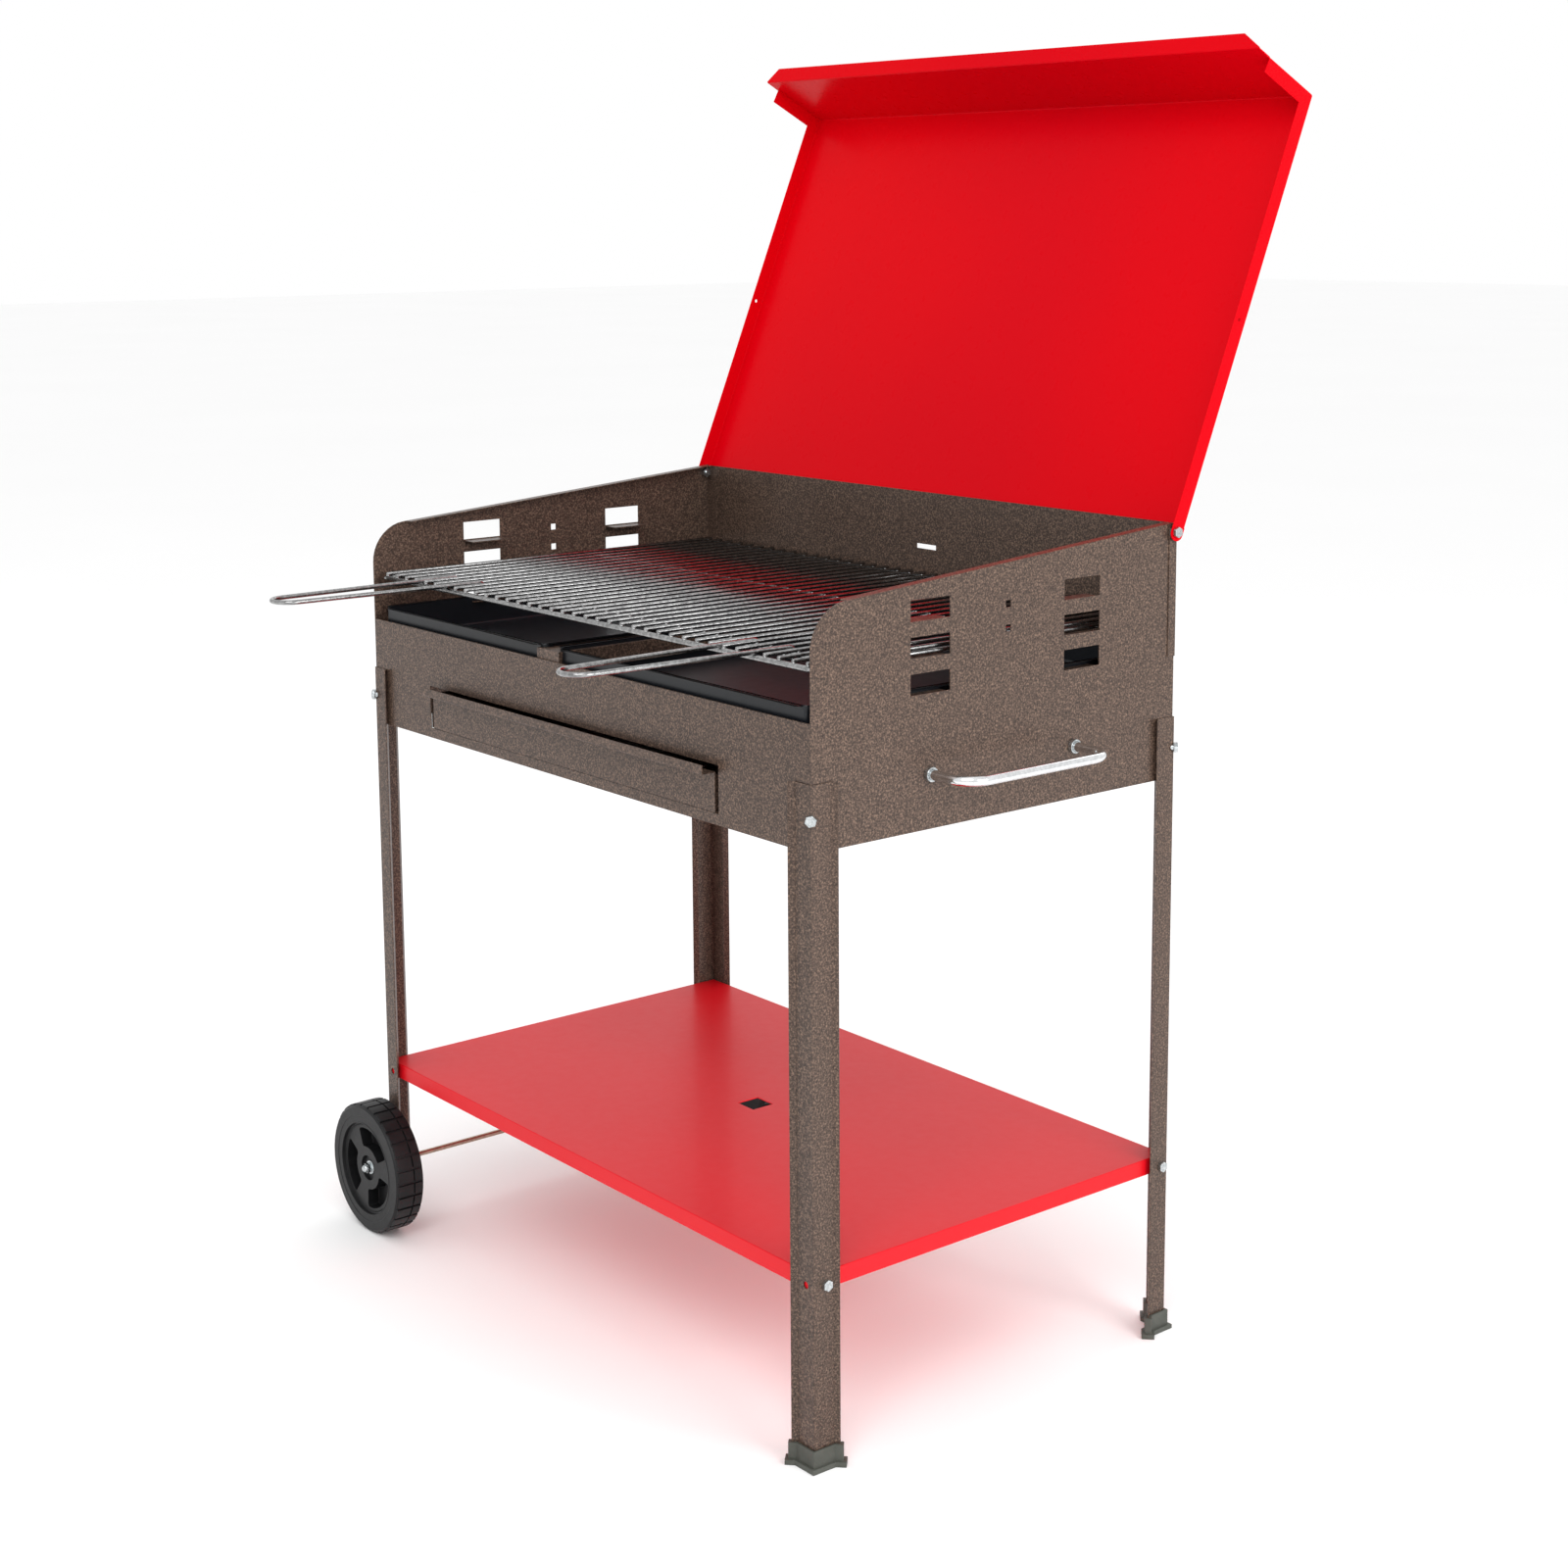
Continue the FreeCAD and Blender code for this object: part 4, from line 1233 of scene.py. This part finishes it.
    def flange_point(self, point: Vector, corner: Vector, along: Vector) -> Vector:
        """Free edge of a flange opposite one point of its fold, mitred at the lip.

        Args:
            point: Point on the fold of the flange.
            corner: Where skin and lip would meet if their fold were sharp.
            along: Direction of the lip.

        Returns:
            The point on the free edge.
        """
        inward = Vector((0, -along.z, along.y))
        mitre = self.flange * math.tan(math.radians(self.lip_bend) / 2)
        travel = (point - corner).dot(along)
        if abs(point.z - corner.z) < NEAR and corner.y - point.y > mitre:
            return point + ALONG_Z * self.flange
        if travel > mitre:
            target = corner + along * travel + inward * self.flange
        else:
            target = corner + Vector((0, -mitre, self.flange))
        target.x = point.x
        return target

    def round_ear(self, bm: bmesh.types.BMesh, x: float) -> None:
        """Lengthen one flange past the hinge and round its end.

        Args:
            bm: Mesh being built.
            x: Where the flange stands.
        """
        ends = [
            e for e in bm.edges
            if e.is_boundary
            and all(abs(v.co.x - x) < NEAR and abs(v.co.y - self.rear) < NEAR for v in e.verts)
        ]
        made = bmesh.ops.extrude_edge_only(bm, edges=ends)
        verts = verts_in(made["geom"])
        bmesh.ops.translate(bm, vec=ALONG_Y * (-self.rear - self.ear), verts=verts)
        bmesh.ops.bevel(
            bm, geom=verts, offset=self.ear * self.ear_round, offset_type="OFFSET", segments=6,
            profile=0.5, affect="VERTICES", material=-1,
        )


# ------------------------------------------------------------------ pans, drawer


@dataclass
class Pans:
    """Two enamelled charcoal pans with pressed corners and a folded-down rim."""

    palette: Palette
    rim: float = 12 * MM
    rim_fold: float = 4 * MM
    rim_corner: float = 6 * MM
    rim_round: float = 1.2 * MM
    well_corner: float = 16 * MM
    well_round: float = 4 * MM

    def build(self) -> None:
        """Press both pans."""
        for side in Side:
            self.press(side)

    def press(self, side: Side) -> bpy.types.Object:
        """Press one pan to the size of its CAD node.

        Args:
            side: Which pan.

        Returns:
            The finished pan.
        """
        name = "charcoal_pan_" + side.word
        low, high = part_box(name)
        middle = (low + high) / 2
        middle.z = high.z
        bm = bmesh.new()
        lay_sheet(bm, middle, high.x - low.x, high.y - low.y)
        bmesh.ops.inset_region(bm, faces=bm.faces[:], thickness=self.rim, use_even_offset=True)
        well = min(bm.faces, key=lambda f: (f.calc_center_median() - middle).length)
        made = bmesh.ops.extrude_face_region(bm, geom=[well])
        bmesh.ops.delete(bm, geom=[well], context="FACES_ONLY")
        sink = ALONG_Z * (low.z - high.z)
        bmesh.ops.translate(bm, vec=sink, verts=verts_in(made["geom"]))
        skirt = bmesh.ops.extrude_edge_only(bm, edges=[e for e in bm.edges if e.is_boundary])
        drop = -ALONG_Z * self.rim_fold
        bmesh.ops.translate(bm, vec=drop, verts=verts_in(skirt["geom"]))
        self.round_pan(bm, low.z + MM)
        bmesh.ops.recalc_face_normals(bm, faces=bm.faces[:])
        face_up(bm, max(bm.faces, key=lambda f: f.calc_center_median().z), up=True)
        piece = finish_piece(
            bm, name + "_pressed", f"{side.word}_pan", self.palette["pan"], [name],
            outward=False,
        )
        thicken(piece, STEEL)
        level_shading(piece)
        return piece

    def round_pan(self, bm: bmesh.types.BMesh, floor: float) -> None:
        """Round the upright corners, then the folds of the floor and the rim.

        Args:
            bm: Mesh being built.
            floor: Height under which an edge belongs to the floor.
        """
        upright = [
            e for e in bm.edges
            if abs(e.verts[0].co.z - e.verts[1].co.z) > self.rim_fold / 2
        ]
        tall = [e for e in upright if e.calc_length() > self.rim]
        round_edges(bm, [e for e in upright if e not in tall], self.rim_corner, steps=5)
        round_edges(bm, [e for e in tall if e.is_valid], self.well_corner, steps=6)
        bmesh.ops.recalc_face_normals(bm, faces=bm.faces[:])
        bottom = [e for e in sharp_edges(bm, 60) if min(v.co.z for v in e.verts) < floor]
        round_edges(bm, bottom, self.well_round, steps=4)
        round_edges(bm, sharp_edges(bm, 60), self.rim_round, steps=3)


@dataclass
class AshDrawer:
    """Drawer front with its gutter grip, and the tray behind it."""

    nodes: dict[str, bpy.types.Object]
    palette: Palette
    fold: float = 1.2 * MM

    def build(self) -> None:
        """Make the front and dress the tray."""
        front = self.nodes["ash_drawer_front"]
        enamel = self.palette["bronze"]
        folded_copy(front, "ash_drawer", enamel, fold=self.fold)
        dress(self.nodes, ("ash_drawer_tray",), enamel)


# ------------------------------------------------------------------ grate


@dataclass
class Grate:
    """Chromed frame of rods, welded cross wires and two wire handles."""

    palette: Palette
    level: float = 756.05 * MM
    rod: float = 2.75 * MM
    rod_facets: int = 14
    wire: float = 2 * MM
    wire_facets: int = 10
    pitch: float = 20.667 * MM
    wires: int = 37
    wire_front: float = -228 * MM
    wire_rear: float = 230 * MM
    rail: float = 374 * MM
    rod_places: tuple[float, ...] = (-226 * MM, -187 * MM, 50 * MM, 225 * MM)
    nose: float = 0.4
    nugget: float = 1.9 * MM
    corner_nugget: float = 1.15
    nugget_shape: tuple[float, ...] = (1.25, 1.25, 0.75, 1)
    grip_wire: float = 2.5 * MM
    grip_place: float = 269.5 * MM
    grip_half: float = 26.75 * MM
    bow_half: float = 19.5 * MM
    grip_front: float = -423.5 * MM
    bend_steps: int = 16

    @property
    def wire_level(self) -> float:
        """Height of the middle of the wires."""
        return self.level + self.rod + self.wire

    def build(self) -> None:
        """Make frame, wires and handles."""
        self.frame()
        self.lay_wires()
        for side in Side:
            self.handle(side)

    def finish(self, bm: bmesh.types.BMesh, name: str, node: str) -> bpy.types.Object:
        """Chrome one part of the grate.

        Args:
            bm: Its mesh.
            name: Name of the piece.
            node: CAD node that it stands for.

        Returns:
            The finished piece.
        """
        wire = self.palette["wire"]
        return finish_piece(bm, name, "grate", wire, [node], smooth_degrees=60)

    def bar(
        self, bm: bmesh.types.BMesh, start: Vector, heading: Vector, length: float,
        radius: float, facets: int,
    ) -> None:
        """Lay one straight bar with rounded ends.

        Args:
            bm: Mesh being built.
            start: Middle of its first end.
            heading: Its direction.
            length: Its length.
            radius: Its radius.
            facets: Facets round it.
        """
        nose = radius * self.nose
        tip = radius - nose
        rod = RodBender(bm, start, heading, tip, facets)
        rod.straight(nose, radius).straight(length - 2 * nose).straight(nose, tip).close()

    def weld(self, bm: bmesh.types.BMesh, point: Vector, size: float) -> None:
        """Leave one weld nugget where two bars touch.

        Args:
            bm: Mesh being built.
            point: Where they touch.
            size: Radius of the nugget before it is squashed.
        """
        where = Matrix.Translation(point) @ Matrix.Diagonal(self.nugget_shape)
        bmesh.ops.create_uvsphere(bm, u_segments=8, v_segments=5, radius=size, matrix=where)

    def frame(self) -> bpy.types.Object:
        """Weld the frame: four long rods and two side rails.

        Returns:
            The finished frame.
        """
        bm = bmesh.new()
        front, rear = self.rod_places[0], self.rod_places[-1]
        for place in self.rod_places:
            start = Vector((-self.rail, place, self.level))
            self.bar(bm, start, ALONG_X, 2 * self.rail, self.rod, self.rod_facets)
        for side in Side:
            x = side.value * self.rail
            start = Vector((x, front, self.level))
            self.bar(bm, start, ALONG_Y, rear - front, self.rod, self.rod_facets)
            for place in self.rod_places:
                self.weld(bm, Vector((x, place, self.level)), self.rod * self.corner_nugget)
        return self.finish(bm, "grate_frame_rods", "grate_frame")

    def lay_wires(self) -> bpy.types.Object:
        """Lay the wires over the frame and weld them down.

        Returns:
            The finished wires.
        """
        bm = bmesh.new()
        length = self.wire_rear - self.wire_front
        for index in range(self.wires):
            x = (index - (self.wires - 1) / 2) * self.pitch
            start = Vector((x, self.wire_front, self.wire_level))
            self.bar(bm, start, ALONG_Y, length, self.wire, self.wire_facets)
            for place in self.rod_places:
                self.weld(bm, Vector((x, place, self.wire_level - self.wire)), self.nugget)
        return self.finish(bm, "grate_cross_wires", "grate_wires")

    def handle(self, side: Side) -> bpy.types.Object:
        """Bend one handle: a hook round the second rod, two legs that close in, and a bow.

        Args:
            side: Which handle.

        Returns:
            The finished handle.
        """
        bm = bmesh.new()
        hook = self.rod + self.grip_wire
        rod_y = self.rod_places[1]
        run = rod_y - (self.grip_front + self.grip_wire + self.bow_half)
        closing = self.grip_half - self.bow_half
        lean = math.degrees(math.atan2(closing, run))
        leg = math.hypot(run, closing)
        x = side.value * self.grip_place - self.grip_half
        start = Vector((x, rod_y - hook, self.level))
        wire = RodBender(bm, start, -ALONG_Z, self.grip_wire, self.rod_facets)
        wire.bend(270, hook, ALONG_X, self.bend_steps)
        wire.heading = Matrix.Rotation(math.radians(lean), 3, ALONG_Z) @ wire.heading
        wire.straight(leg).bend(180 - 2 * lean, self.bow_half, ALONG_Z, self.bend_steps)
        wire.straight(leg)
        wire.heading = ALONG_Y.copy()
        wire.bend(270, hook, -ALONG_X, self.bend_steps).close()
        name = "grate_handle_" + side.word
        return self.finish(bm, name + "_wire", name)


# ------------------------------------------------------------------ studio


@dataclass(frozen=True)
class SoftBox:
    """One square soft light: its place and size in metres, its power in watts."""

    name: str
    place: tuple[float, float, float]
    size: float
    power: float


@dataclass
class Studio:
    """Pale floor, soft lights and the camera."""

    lens: float = 57.17
    sensor: float = 36.0
    shift_y: float = -0.12
    far: float = 100.0
    eye: Vector = field(default_factory=lambda: Vector((2063.08, -1610.12, 1161.16)) * MM)
    yaw: float = 51.26
    pitch: float = 8.81
    roll: float = -0.39
    floor_half: float = 30.0
    pale: Colour = (0.96, 0.96, 0.96)
    paler: Colour = (0.97, 0.97, 0.97)
    lit_height: float = 0.7
    lights: tuple[SoftBox, ...] = (
        SoftBox("key", (2.0, -2.2, 3.0), 2.0, 50.0),
        SoftBox("fill", (3.6, 0.2, 1.6), 1.8, 60.0),
        SoftBox("back", (-0.6, 3.0, 2.6), 2.4, 20.0),
    )

    def build(self) -> None:
        """Set up floor, light and camera."""
        self.floor()
        self.sky()
        for light in self.lights:
            self.hang(light)
        self.camera()

    def floor(self) -> None:
        """Wide pale floor under the feet and wheels."""
        bm = bmesh.new()
        bmesh.ops.create_grid(bm, x_segments=1, y_segments=1, size=self.floor_half)
        plane = mesh_object(bm, "floor")
        nodes = Nodes("pale_floor")
        stops = ((0.3, self.pale), (0.7, self.paler))
        nodes.feed("Base Color", nodes.ramp(nodes.noise(0.8), stops))
        nodes.set(Roughness=0.9, Specular_IOR_Level=0.1)
        plane.data.materials.append(nodes.material)

    def sky(self) -> None:
        """Even white surroundings."""
        world = bpy.data.worlds.new("studio_white")
        world.use_nodes = True
        shade = world.node_tree.nodes["Background"]
        shade.inputs["Color"].default_value = (1.0, 1.0, 1.0, 1.0)
        shade.inputs["Strength"].default_value = 1.0
        bpy.context.scene.world = world

    def hang(self, light: SoftBox) -> None:
        """Hang one soft light that looks at the grill.

        Args:
            light: The light.
        """
        data = bpy.data.lights.new(light.name, "AREA")
        data.size = light.size
        data.energy = light.power
        lamp = add_object(light.name, data)
        lamp.location = light.place
        view = ALONG_Z * self.lit_height - lamp.location
        lamp.rotation_euler = view.to_track_quat("-Z", "Y").to_euler()

    def camera(self) -> None:
        """Camera at a standing viewer's place, front right of the grill."""
        yaw, pitch, roll = (math.radians(a) for a in (self.yaw, self.pitch, self.roll))
        level = math.radians(90)
        turn = Matrix.Rotation(yaw, 4, "Z") @ Matrix.Rotation(level - pitch, 4, "X")
        data = bpy.data.cameras.new("camera")
        data.lens = self.lens
        data.sensor_width = self.sensor
        data.shift_y = self.shift_y
        data.clip_end = self.far
        eye = add_object("camera", data)
        eye.matrix_world = Matrix.Translation(self.eye) @ turn @ Matrix.Rotation(roll, 4, "Z")
        bpy.context.scene.camera = eye
        bpy.context.scene.view_settings.view_transform = "Standard"


def main() -> None:
    """Build every sub-assembly in order."""
    logging.basicConfig(level=logging.INFO, format="%(message)s")
    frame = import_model()
    nodes = frame["nodes"]
    palette = Palette()
    Stand(nodes, palette).build()
    SideHandle(palette).build()
    for end in End:
        Wheel(end, palette).build()
    Lid(palette).build()
    Pans(palette).build()
    AshDrawer(nodes, palette).build()
    Grate(palette).build()
    Studio().build()
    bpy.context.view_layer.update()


if __name__ == "__main__":
    main()
